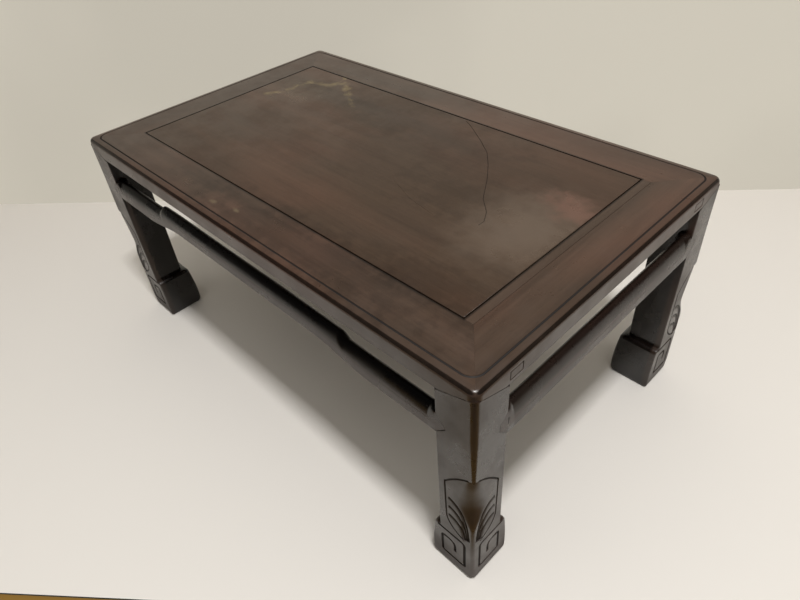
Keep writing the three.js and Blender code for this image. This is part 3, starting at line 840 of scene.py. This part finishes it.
def beside(path, shift):
    """A path moved sideways, to the hollow side of a flute."""
    moved = []
    for index, (s, z) in enumerate(path):
        before, after = Vector(path[max(index - 1, 0)]), Vector(path[min(index + 1, len(path) - 1)])
        heading = (after - before).normalized()
        moved.append((s - heading.y * shift, z + heading.x * shift))
    return moved


def carve(piece):
    def along(path, face, lift=LINE_LIFT):
        return [on_leg(s, z, face, lift) for s, z in path]

    half = lappet_half()
    tools = [drawn_line(along(reversed(half), 0) + along(half, 1), LINE_RADIUS)]
    for face, joints in enumerate((FRONT_JOINTS, SIDE_JOINTS)):
        tools.append(drawn_line(along(SCROLL_PATH, face), SCROLL_RADIUS))
        for path in flute_paths():
            tools.append(drawn_line(along(path, face), LINE_RADIUS, swell=FLUTE_SWELL))
            tools.append(drawn_line(along(beside(path, DISH_SHIFT), face, DISH_LIFT), DISH_RADIUS))
        tools.append(drawn_line(on_side(joints[1], face, 1, -1), JOINT_LINE_RADIUS))
    return cut_away(piece, *tools, *seat_lines(1, -1))


# Stretchers
def stretcher_profile(bottom, top, flat, squareness):
    """Insets from the outer face and heights, round one section."""
    crown = top - bottom - flat
    half = STRETCHER_THICKNESS / 2
    power = 2 / squareness
    outline = []
    for angle in spread(180, 0, PROFILE_STEPS):
        level, rise = math.cos(math.radians(angle)), math.sin(math.radians(angle))
        inset = half + half * math.copysign(abs(level) ** power, level)
        outline.append((inset, bottom + flat + crown * abs(rise) ** power))
    ease_steps = quarter(STRETCHER_EASE, bottom + STRETCHER_EASE, STRETCHER_EASE, 180, EASE_STEPS)
    return outline + [(STRETCHER_THICKNESS, bottom)] + ease_steps[::-1]


def squareness_at(distance):
    return 2 + (FLARE_SQUARENESS - 2) * (1 - ease(distance / FLARE_RUN))


def stretcher_stations(span, humps):
    half = spread(0, FLARE_RUN, FLARE_STEPS) + [place - LEG_WIDTH for place in humps]
    return half + [span - place for place in reversed(half)]


def pointed_end(bottom, depth, to_world, grow):
    """The shoulder that laps a leg face in a point, and the tenon behind it."""
    tip = bottom + depth * SHOULDER_TIP
    low = bottom + SHOULDER_LOW_SHY - grow
    high = bottom + depth - SHOULDER_HIGH_SHY + grow
    reach = SHOULDER_REACH + grow
    outer = -OVERSHOOT if grow else 0
    start = to_world(-JOINT_OVERLAP, outer, low)
    end = to_world(reach, SHOULDER_THICKNESS + grow, high)
    shoulder = block("shoulder", *zip(start, end))
    along = Vector(to_world(1, 0, 0)) - Vector(to_world(0, 0, 0))
    for edge in (low, high):
        rise = edge - tip
        saw(shoulder, to_world(0, 0, edge), along * abs(rise) + Vector((0, 0, math.copysign(reach, rise))))
    start = to_world(-JOINT_OVERLAP, TENON_INSET - grow, bottom + TENON_SHY - grow)
    inner = TENON_INSET + TENON_THICKNESS + grow
    end = to_world(TENON_LENGTH + grow, inner, bottom + depth - TENON_SHY + grow)
    return shoulder, block("tenon", *zip(start, end))


def long_end(side_x, side_y, grow):
    def to_world(reach, inset, z):
        return side_x * (HALF_LENGTH - LEG_WIDTH + reach), side_y * (HALF_WIDTH - inset), z

    return pointed_end(LONG_BOTTOM, LONG_DEPTH, to_world, grow)


def short_end(side_x, side_y, grow):
    def to_world(reach, inset, z):
        return side_x * (HALF_LENGTH - inset), side_y * (HALF_WIDTH - LEG_WIDTH + reach), z

    return pointed_end(SHORT_BOTTOM, SHORT_DEPTH, to_world, grow)


def long_stretcher():
    span = LENGTH - 2 * (LEG_WIDTH + HAIRLINE)
    riser_end = HUMP_TOP_START + HUMP_TOP_RUN
    humps = (
        spread(HUMP_BOTTOM_START, HUMP_TOP_START, HUMP_LEAD_STEPS)[:-1]
        + spread(HUMP_TOP_START, riser_end, HUMP_STEPS)
        + spread(riser_end, HUMP_BOTTOM_START + HUMP_BOTTOM_RUN, HUMP_STEPS)[1:]
    )
    sections = []
    for along in stretcher_stations(span, humps):
        near = min(along, span - along)
        place = near + LEG_WIDTH
        bottom = LONG_BOTTOM + HUMP_BOTTOM_RISE * ease((place - HUMP_BOTTOM_START) / HUMP_BOTTOM_RUN)
        top = LONG_BOTTOM + LONG_DEPTH + HUMP_TOP_RISE * ease((place - HUMP_TOP_START) / HUMP_TOP_RUN)
        profile = stretcher_profile(bottom, top, LONG_FLAT, squareness_at(near))
        x = mm(along - span / 2)
        sections.append([Vector((x, mm(inset - HALF_WIDTH), mm(z))) for inset, z in profile])
    return draw_out("stretcher_front", sections)


def short_stretcher():
    span = WIDTH - 2 * (LEG_WIDTH + HAIRLINE)
    top = SHORT_BOTTOM + SHORT_DEPTH
    sections = []
    for along in stretcher_stations(span, []):
        profile = stretcher_profile(SHORT_BOTTOM, top, SHORT_FLAT, squareness_at(min(along, span - along)))
        y = mm(along - span / 2)
        sections.append([Vector((mm(HALF_LENGTH - inset), y, mm(z))) for inset, z in profile])
    return draw_out("stretcher_right", sections)


def make_legs():
    leg = cut_away(leg_blank(), *long_end(1, -1, SEEN_GAP), *short_end(1, -1, SEEN_GAP))
    carve(leg)
    mark_cuts(leg, carving_share, joint_share)
    legs = {"leg_front_right": leg}
    for name, (side_x, side_y) in list(CORNERS.items())[1:]:
        legs["leg_" + name] = mirrored(leg, "leg_" + name, side_x, -side_y)
    return legs


def make_stretchers():
    front = glue(long_stretcher(), *long_end(1, -1, 0), *long_end(-1, -1, 0))
    right = glue(short_stretcher(), *short_end(1, 1, 0), *short_end(1, -1, 0))
    return {
        "stretcher_front": front,
        "stretcher_back": mirrored(front, "stretcher_back", 1, -1),
        "stretcher_right": right,
        "stretcher_left": mirrored(right, "stretcher_left", -1, 1),
    }


# How deep the cuts lie, kept on each piece for its finish
CARVED_LIMIT = 2.1
CARVED_OVER = 3
CARVED_SHY = 2.4
CROWN_REACH = 1.6
CROWN_SIDE = 10
INCISED_OUT = 1.5
INCISED_IN = 4
INCISED_BELOW = 1.5
PANEL_MARK_BELOW = 1


def mark_cuts(piece, *shares_at):
    """Stores 0 on the uncut surface and 1 at the floor of a cut, vertex by vertex."""
    places = [vert.co * 1000 for vert in piece.data.vertices]
    shares = [max(min(share(place), 1) for share in shares_at) for place in places]
    layer = piece.data.attributes.new("cut_depth", "FLOAT", "POINT")
    layer.data.foreach_set("value", [max(share, 0) for share in shares])


def carving_share(place):
    """How deep a point of the front right leg lies under its uncut surface."""
    u, v, z = HALF_LENGTH - place.x, HALF_WIDTH + place.y, place.z
    along, behind = max(u, v), min(u, v)
    if abs(z - LAPPET_TOP) < CROWN_REACH and along < CROWN_SIDE:
        return (behind - fall(along, LAPPET_TOP)) / LINE_RADIUS
    depth = behind - fall(along, z)
    carved = FOOT_EDGE_RADIUS < z < LAPPET_TOP + CARVED_OVER and along < leg_reach(z) - CARVED_SHY
    return depth / (LINE_RADIUS - LINE_LIFT) if carved and depth < CARVED_LIMIT else 0


def incised_share(place):
    inset = min(HALF_LENGTH - abs(place.x), HALF_WIDTH - abs(place.y))
    near_line = INCISED_INSET - INCISED_OUT < inset < INCISED_INSET + INCISED_IN
    depth = HEIGHT - place.z
    return depth / INCISED_DARK_DEPTH if near_line and depth < INCISED_BELOW else 0


def panel_mark_share(place):
    margin = PANEL_GAP + PANEL_MARK_MARGIN
    inside = PANEL_LEFT + margin < place.x < SLIP_LEFT - margin and abs(place.y) < PANEL_HALF - margin
    depth = HEIGHT - place.z
    return depth / PANEL_MARK_DEPTH if inside and depth < PANEL_MARK_BELOW else 0


# Finishes
class Recipe:
    """A material: short names for its nodes, and the colour and roughness mixed so far."""

    def __init__(self, name):
        self.material = bpy.data.materials.new(name)
        self.material.use_nodes = True
        self.nodes = self.material.node_tree.nodes
        self.shader = self.nodes["Principled BSDF"]
        self.place = self.node("TexCoord").outputs["Object"]

    def feed(self, socket, value):
        if isinstance(value, bpy.types.NodeSocket):
            self.material.node_tree.links.new(value, socket)
        else:
            socket.default_value = (*value, 1) if socket.type == "RGBA" else value

    def node(self, kind, *values, operation=None, **named):
        """A new node with its sockets fed in order or by name."""
        node = self.nodes.new("ShaderNode" + kind)
        if operation:
            node.operation = operation
        for socket, value in (*enumerate(values), *named.items()):
            self.feed(node.inputs[socket], value)
        return node

    def noise(self, scale, shift, detail, rough=0.5, distortion=0.0):
        """Clouds of the given scale on each axis, in shifted coordinates of the stand."""
        space = self.node("Mapping", Vector=self.place, Location=shift, Scale=scale).outputs["Vector"]
        character = {"Detail": detail, "Roughness": rough, "Distortion": distortion}
        return self.node("TexNoise", Vector=space, Scale=1, **character).outputs["Fac"]

    def ramp(self, value, low, high, start, end):
        node = self.node("MapRange", value, low, high, start, end)
        node.interpolation_type = "SMOOTHSTEP"
        return node.outputs["Result"]

    def maths(self, operation, a, b=0.0):
        return self.node("Math", a, b, operation=operation).outputs["Value"]

    def times(self, a, b):
        return self.maths("MULTIPLY", a, b)

    def larger(self, a, b):
        return self.maths("MAXIMUM", a, b)

    def mix(self, factor, a, b):
        node = self.node("Mix", factor)
        node.data_type = "RGBA"
        colours = [socket for socket in node.inputs if socket.type == "RGBA"]
        self.feed(colours[0], a)
        self.feed(colours[1], b)
        return next(socket for socket in node.outputs if socket.type == "RGBA")

    def part(self, axis):
        return self.node("SeparateXYZ", self.place).outputs[axis]

    def outward(self, axis, start, end, inner=0, outer=1):
        """A change from inner to outer, between two depths under the stand's outer faces."""
        half = {"X": HALF_LENGTH, "Y": HALF_WIDTH, "Z": HEIGHT}[axis]
        distance = self.maths("ABSOLUTE", self.part(axis))
        return self.ramp(distance, mm(half - start), mm(half - end), inner, outer)

    def patch(self, centre, radii, turn, ragged, edge):
        """1 inside a ragged oval on the top of the stand and 0 outside it."""
        place, size = [(*[mm(value) for value in pair], 0) for pair in (centre, radii)]
        oval = self.node("Mapping", self.place, place, (0, 0, -math.radians(turn)), size)
        oval.vector_type = "TEXTURE"
        distance = self.node("VectorMath", oval.outputs["Vector"], operation="LENGTH").outputs["Value"]
        wander = self.noise([PATCH_NOISE] * 3, (*centre, 0), 4, 0.6)
        distance = self.maths("ADD", distance, self.ramp(wander, 0.3, 0.7, -ragged, ragged))
        return self.ramp(distance, 1 - edge, 1, 1, 0)

    def shade(self, factor):
        """The colour so far, times a number."""
        shaded = self.node("VectorMath", self.colour, operation="SCALE")
        self.feed(shaded.inputs["Scale"], factor)
        self.colour = shaded.outputs["Vector"]

    def cover(self, share, colour):
        """A share of another colour over the colour so far."""
        self.colour = self.mix(share, self.colour, colour)

    def dull(self, amount):
        """The roughness so far, with an amount added."""
        self.roughness = self.maths("ADD", self.roughness, amount)

    def finish(self, values):
        for name, value in values.items():
            self.feed(self.shader.inputs[name], value)


# Grain: scale along and across it, then detail, roughness and distortion of the noise
CLOUDS = (4, 8, 3, 0.55)
BROAD_FIGURE = (2, 42, 4, 0.55, 0.5)
FINE_FIGURE = (14, 420, 3, 0.6)
PORES = (110, 1500, 2)
PORE_RELIEF = 0.04
FINE_RELIEF = 0.35
FINE_DARKER = 0.6
FINE_PALER = 0.5
RELIEF_HEIGHT = 0.0003
SMUDGE_NOISE = 24
FLECK_NOISE = 150
PATCH_NOISE = 60
# Dark and dull floors of the cuts: the dark is painted shade in the hollows
CUT_START = 0.55
CUT_SHADE = 0.12
CUT_DULLING = 0.35
# Wear; painted shade behind the stretchers' outer faces, on the legs' inner faces and on the top's arris;
# darker wood beside the panel's groove. A span is two depths under an outer face, in millimetres.
BACK_SPAN = (0.9, 0.03)
LONG_BACK_SHADE = 0.06
SHORT_BACK_SHADE = 0.4
INNER_SPAN = (10, 3)
INNER_SHADE = 0.15
INNER_DULLING = -0.1
FOOT_DULLING = 0.26
EDGE_SPAN = (4, 0)
SOLE_REACH = 9
EDGE_WEAR = 0.3
WORN = (0.060, 0.036, 0.023)
ARRIS_RANGE = (0.02, 0.3)
ARRIS_SHADE = 0.2
ARRIS_POLISH = 0.6
GROOVE_DARK_NEAR = 0.3
GROOVE_DARK_REACH = 2.2
GROOVE_DARK_SHADE = 0.25


def wood(name, along, look, shift):
    """Waxed dark wood with its grain along one axis."""
    recipe = Recipe(name)

    def grain(length, across, *character):
        return recipe.noise([length if axis == along else across for axis in "XYZ"], shift, *character)

    broad = grain(*BROAD_FIGURE)
    fine = grain(*FINE_FIGURE)
    pores = recipe.ramp(grain(*PORES), 0.6, 0.7, 0, 1)
    recipe.colour = recipe.mix(recipe.ramp(grain(*CLOUDS), 0.4, 0.66, 0, 1), look.base, look.warm)
    recipe.shade(recipe.ramp(broad, 0.34, 0.68, 1 - look.figure, 1 + look.figure))
    recipe.shade(recipe.ramp(fine, 0.3, 0.7, 1 - look.figure * FINE_DARKER, 1 + look.figure * FINE_PALER))
    recipe.shade(recipe.maths("SUBTRACT", 1.0, recipe.times(pores, look.pores)))
    smudge = recipe.noise([SMUDGE_NOISE] * 3, shift, 5, 0.62)
    recipe.roughness = recipe.ramp(smudge, 0.32, 0.68, *look.roughness)

    wear_and_arris_shade(recipe, shift)
    if name.startswith(("top_panel", "stile_front")):
        stain_and_shade_top(recipe)
    if name.startswith(("top_panel", "panel_slip", "stile", "rail")):
        darken_beside_groove(recipe)
    if name.startswith("stretcher"):
        paint_stretcher_shade(recipe, along)
    if name.startswith("leg"):
        recipe.dull(recipe.ramp(recipe.part("Z"), 0, mm(FOOT_LEDGE_OUTER), FOOT_DULLING, 0))
        paint_leg_inner_shade(recipe)

    cut = recipe.node("Attribute")
    cut.attribute_name = "cut_depth"
    # Painted shade in the floors of the cuts.
    recipe.shade(recipe.ramp(cut.outputs["Fac"], CUT_START, 1, 1, CUT_SHADE))
    recipe.dull(recipe.times(cut.outputs["Fac"], CUT_DULLING))
    relief = recipe.maths("ADD", broad, recipe.times(fine, FINE_RELIEF))
    relief = recipe.maths("SUBTRACT", relief, recipe.times(pores, PORE_RELIEF))
    bump = recipe.node("Bump", Strength=look.bump, Distance=RELIEF_HEIGHT, Height=relief).outputs["Normal"]
    recipe.finish(
        {"Base Color": recipe.colour, "Roughness": recipe.roughness, "IOR": look.ior, "Normal": bump}
    )
    return recipe.material


def paint_stretcher_shade(recipe, along):
    """Painted shade: a stretcher is painted darker behind its outer face."""
    if along == "X":
        recipe.shade(recipe.outward("Y", *BACK_SPAN, LONG_BACK_SHADE))
    else:
        recipe.shade(recipe.outward("X", *BACK_SPAN, SHORT_BACK_SHADE))


def paint_leg_inner_shade(recipe):
    """Painted shade: a leg is painted darker on its two inner faces, and its roughness there is changed."""
    outer = recipe.larger(recipe.outward("X", *INNER_SPAN), recipe.outward("Y", *INNER_SPAN))
    recipe.dull(recipe.ramp(outer, 0, 1, INNER_DULLING, 0))
    recipe.shade(recipe.ramp(outer, 0, 1, INNER_SHADE, 1))


def wear_and_arris_shade(recipe, shift):
    """The arris of the top is painted dark, a painted reflection of the dark room, and polished; outer edges
    are paler in flecks of wear.
    """
    ends, sides, top = [recipe.outward(axis, *EDGE_SPAN) for axis in "XYZ"]
    sole = recipe.ramp(recipe.part("Z"), 0, mm(SOLE_REACH), 1, 0)
    outer = recipe.larger(ends, sides)
    corner = recipe.larger(recipe.times(ends, sides), recipe.times(outer, recipe.larger(top, sole)))
    arris = recipe.times(outer, top)
    # Painted reflection: the arris is darkened in place of the dark room it mirrors.
    recipe.shade(recipe.ramp(arris, *ARRIS_RANGE, 1, ARRIS_SHADE))
    recipe.roughness = recipe.times(recipe.roughness, recipe.ramp(arris, *ARRIS_RANGE, 1, ARRIS_POLISH))
    flecks = recipe.ramp(recipe.noise([FLECK_NOISE] * 3, shift, 4, 0.65), 0.5, 0.66, 0, EDGE_WEAR)
    recipe.cover(recipe.times(corner, flecks), WORN)


def stain_and_shade_top(recipe):
    """The marks of use on the top: dried water lines, smudges and rubbed patches, with painted shade near
    the front and a painted sheen in one paler patch.
    """
    upper = recipe.outward("Z", *TOP_SPAN)
    for *oval, share in WATER_LINES:
        line = recipe.times(upper, recipe.patch(*oval, STAIN_EDGE))
        recipe.cover(recipe.times(line, share), DRIED_WATER)
        recipe.dull(recipe.times(line, WATER_DULLING))
    # Dark smudges, and painted shade near the front.
    for *oval, share in SMUDGES_AND_SHADE:
        smudge = recipe.times(upper, recipe.patch(*oval, STAIN_EDGE))
        recipe.shade(recipe.ramp(smudge, 0, 1, 1, 1 - share))
    # Paler rubbed wood, and a painted sheen in the first patch.
    for *oval, share, paler in RUBBED_AND_SHEEN_PATCHES:
        pale_share = recipe.times(upper, recipe.patch(*oval, RUBBED_EDGE))
        recipe.dull(recipe.times(pale_share, RUBBED_DULLING))
        recipe.cover(recipe.times(pale_share, share), paler)


def darken_beside_groove(recipe):
    """The wood beside the panel's groove is painted darker."""
    along = recipe.maths("SUBTRACT", recipe.part("X"), mm((PANEL_LEFT + SLIP_LEFT) / 2))
    ends = recipe.maths("SUBTRACT", recipe.maths("ABSOLUTE", along), mm((SLIP_LEFT - PANEL_LEFT) / 2))
    sides = recipe.maths("SUBTRACT", recipe.maths("ABSOLUTE", recipe.part("Y")), mm(PANEL_HALF))
    distance = recipe.maths("ABSOLUTE", recipe.larger(ends, sides))
    recipe.shade(recipe.ramp(distance, mm(GROOVE_DARK_NEAR), mm(GROOVE_DARK_REACH), GROOVE_DARK_SHADE, 1))


# Marks on the top: centre, half lengths, turn in degrees, raggedness and strength
TOP_SPAN = (4, 1)
STAIN_EDGE = 0.9
WATER_PATHS = [
    [(-226, 33), (-213, 47), (-215, 69), (-208, 90), (-183, 95), (-176, 109), (-181, 133)],
    [(-176, 109), (-165, 114), (-138, 94), (-113, 77)],
]
WATER_REACH = 0.75
WATER_WIDTH = 6
WATER_RAGGED = 0.6
WATER_STRENGTH = 0.5
WATER_DULLING = 0.15
DRIED_WATER = (0.27, 0.215, 0.12)


def water_lines():
    """An oval for each stretch of the water lines."""
    ovals = []
    for path in WATER_PATHS:
        for (x, y), (next_x, next_y) in zip(path, path[1:]):
            run = math.hypot(next_x - x, next_y - y)
            turn = -math.degrees(math.atan2(next_y - y, next_x - x))
            centre = ((x + next_x) / 2, (y + next_y) / 2)
            ovals.append((centre, (run * WATER_REACH, WATER_WIDTH), turn, WATER_RAGGED, WATER_STRENGTH))
    return ovals


WATER_LINES = water_lines() + [
    ((-16, -155), (9, 4), 10, 0.4, 0.5),
    ((-49, -160), (6, 3), 0, 0.5, 0.25),
]
# The two wide patches nearest the front are painted shade; the others are dark marks and darker patches.
SMUDGES_AND_SHADE = [
    ((190, 62), (14, 2.5), 4, 0.9, 0.55),
    ((120, 0), (90, 50), 0, 0.6, 0.14),
    ((70, -150), (260, 46), 0, 0.3, 0.32),
    ((200, -112), (90, 34), 0, 0.3, 0.22),
    ((-20, 90), (220, 70), 0, 0.3, 0.2),
]
# Paler patches: rubbed wood, and in the first of them a painted sheen; the last value is their colour
RUBBED_EDGE = 0.95
RUBBED_DULLING = -0.05
RUBBED_AND_SHEEN_PATCHES = [
    ((212, -8), (84, 96), 0, 0.1, 0.85, (0.125, 0.092, 0.068)),
    ((224, 46), (44, 28), 20, 0.3, 0.8, (0.145, 0.080, 0.058)),
    ((-205, 60), (60, 50), 0, 0.3, 0.2, (0.11, 0.085, 0.055)),
]

Look = namedtuple("Look", "base warm figure pores roughness bump ior")
LOOKS = {
    "top": Look((0.058, 0.036, 0.023), (0.075, 0.041, 0.026), 0.12, 0.2, (0.28, 0.45), 0.1, 1.5),
    "frame": Look((0.060, 0.038, 0.026), (0.084, 0.045, 0.030), 0.16, 0.2, (0.27, 0.42), 0.12, 1.6),
    "slip": Look((0.060, 0.040, 0.028), (0.066, 0.042, 0.029), 0.12, 0.2, (0.27, 0.42), 0.12, 1.55),
    "leg": Look((0.024, 0.015, 0.010), (0.036, 0.018, 0.012), 0.25, 0.2, (0.22, 0.42), 0.12, 1.62),
    "stretcher": Look((0.040, 0.026, 0.019), (0.052, 0.028, 0.020), 0.25, 0.2, (0.22, 0.34), 0.12, 1.42),
    "batten": Look((0.075, 0.050, 0.034), (0.090, 0.056, 0.037), 0.25, 0.4, (0.5, 0.65), 0.35, 1.5),
}
# Each kind of piece, by the first word of its name: its look, slot and grain
KINDS = {
    "top": ("top", "panel_wood", "X"),
    "panel": ("slip", "frame_wood", "Y"),
    "stile": ("frame", "frame_wood", "X"),
    "rail": ("frame", "frame_wood", "Y"),
    "leg": ("leg", "leg_wood", "Z"),
    "stretcher": ("stretcher", "stretcher_wood", "X"),
    "batten": ("batten", "under_wood", "Y"),
}
SHORT_STRETCHERS = ("stretcher_left", "stretcher_right")
GRAIN_SHIFT = (1.7, 2.3, 0.9)
FLAT_ANGLE = 0.05
SMOOTH_ANGLE = 32

made = make_frame()
made["top_panel"] = make_panel()
made["panel_slip"] = make_slip()
made.update({name: make_batten(name, x) for name, x in BATTEN_PLACES.items()})
made.update(make_legs())
made.update(make_stretchers())
for index, (node, piece) in enumerate(sorted(made.items())):
    look, slot, along = KINDS[node.split("_")[0]]
    if node in SHORT_STRETCHERS:
        along = "Y"
    finish = wood(node + "_wood", along, LOOKS[look], [index * step for step in GRAIN_SHIFT])
    piece.name = node + "_piece"
    piece.data.materials.clear()
    piece.data.materials.append(finish)
    for face in piece.data.polygons:
        face.material_index = 0
    with editing(piece, "FACE"):
        bpy.ops.mesh.select_all(action="SELECT")
        bpy.ops.mesh.dissolve_limited(angle_limit=math.radians(FLAT_ANGLE))
    activate(piece)
    bpy.ops.object.shade_smooth_by_angle(angle=math.radians(SMOOTH_ANGLE))
    even = piece.modifiers.new("even_faces", "WEIGHTED_NORMAL")
    even.keep_sharp = True
    bpy.ops.object.modifier_apply(modifier=even.name)
    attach(piece, "root")
    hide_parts(node)


# Floor, backdrop and light, in metres
FLOOR_COLOUR = (0.78, 0.75, 0.71)
DESK_COLOUR = (0.25, 0.14, 0.03)
WALL_COLOUR = (0.78, 0.73, 0.64)
PAPER_ROUGHNESS = 0.7
PAPER_SHINE = 0.2
WALL_SEEN = (0.62, 0.58, 0.49)
WALL_SHARE = 0.75
WALL_NOISE = 2.2
WALL_FADE_START = 0.33
WALL_FADE_END = 0.58
WALL_FADE = 0.15
WALL_DISTANCE = 0.338
WALL_HALF = 1.6
WALL_HEIGHT = 0.78
FLOOR_NEAR_EDGE = -0.362
FLOOR_REACH = 1.4
DESK_EDGE = -0.5
DESK_DROP = 0.003
ACROSS = Vector((0.7556, 0.6548, 0))
AWAY = Vector((-0.6548, 0.7556, 0))
ROOM_COLOUR = (1.0, 0.97, 0.92, 1)
ROOM_LIGHT = 0.04
# A lamp is its place, what it points at, its sides, power and colour
CEILING = ((0.68, -0.34, 2.0), (0.68, -0.34, 0), (0.24, 0.24), 28, (1.0, 0.99, 0.98))
BOUNCE = ((0.6, -0.4, 2.3), (0.6, -0.4, 0), (5, 5), 53, (1.0, 0.955, 0.87))


def paper(name, colour):
    recipe = Recipe(name)
    recipe.finish({"Base Color": colour, "Roughness": PAPER_ROUGHNESS, "Specular IOR Level": PAPER_SHINE})
    return recipe


def wall_paper():
    """A pale wall that glows as painted light for the camera and for reflections, fading toward its top, and
    is open from behind.
    """
    recipe = paper("cream_wall", WALL_COLOUR)
    ray = recipe.node("LightPath").outputs
    seen = recipe.larger(ray["Is Camera Ray"], ray["Is Glossy Ray"])
    seen = recipe.larger(seen, ray["Is Transmission Ray"])
    patches = recipe.ramp(recipe.noise([WALL_NOISE] * 3, (0, 0, 0), 2), 0.35, 0.65, 0.93, 1.06)
    # Painted light: the wall's glow, fading toward its top.
    painted_fade = recipe.ramp(recipe.part("Z"), WALL_FADE_START, WALL_FADE_END, 1, WALL_FADE)
    painted = recipe.node("Emission", Color=WALL_SEEN, Strength=recipe.times(patches, painted_fade))
    share = recipe.times(seen, WALL_SHARE)
    front = recipe.node("MixShader", share, recipe.shader.outputs["BSDF"], painted.outputs["Emission"])
    behind = recipe.times(recipe.node("NewGeometry").outputs["Backfacing"], ray["Is Camera Ray"])
    clear = recipe.node("BsdfTransparent").outputs["BSDF"]
    whole = recipe.node("MixShader", behind, front.outputs["Shader"], clear)
    recipe.feed(recipe.nodes["Material Output"].inputs["Surface"], whole.outputs["Shader"])
    return recipe.material


def sheet(name, corners, material):
    mesh = bpy.data.meshes.new(name)
    mesh.from_pydata(corners, [], [range(4)])
    mesh.materials.append(material)
    piece = bpy.data.objects.new(name, mesh)
    bpy.context.scene.collection.objects.link(piece)
    return piece


def level_sheet(name, near, far, height, colour, finish):
    """A level sheet that lies square to the wall."""
    ends = ((-FLOOR_REACH, near), (FLOOR_REACH, near), (FLOOR_REACH, far), (-FLOOR_REACH, far))
    corners = [ACROSS * x + AWAY * y + Vector((0, 0, height)) for x, y in ends]
    return sheet(name, corners, paper(finish, colour).material)


def add_stage():
    floor = level_sheet("floor", FLOOR_NEAR_EDGE, FLOOR_REACH, 0, FLOOR_COLOUR, "pale_board")
    desk = level_sheet("desk", DESK_EDGE, FLOOR_NEAR_EDGE, -DESK_DROP, DESK_COLOUR, "desk_top")
    foot = [AWAY * WALL_DISTANCE + ACROSS * x for x in (-WALL_HALF, WALL_HALF)]
    head = [place + Vector((0, 0, WALL_HEIGHT)) for place in reversed(foot)]
    backdrop = sheet("backdrop", foot + head, wall_paper())


def add_lamp(name, place, target, sides, power, colour):
    data = bpy.data.lights.new(name, "AREA")
    data.shape = "RECTANGLE"
    data.size, data.size_y = sides
    data.energy = power
    data.color = colour
    lamp = bpy.data.objects.new(name, data)
    lamp.location = place
    lamp.rotation_euler = (Vector(target) - Vector(place)).to_track_quat("-Z", "Y").to_euler()
    bpy.context.scene.collection.objects.link(lamp)
    return lamp


def add_light():
    world = bpy.data.worlds.new("room")
    bpy.context.scene.world = world
    world.use_nodes = True
    background = world.node_tree.nodes["Background"]
    background.inputs["Color"].default_value = ROOM_COLOUR
    background.inputs["Strength"].default_value = ROOM_LIGHT
    add_lamp("ceiling", *CEILING)
    bounce = add_lamp("bounce", *BOUNCE)
    bounce.visible_glossy = False


add_stage()
add_light()
bpy.context.scene.view_settings.view_transform = "Standard"
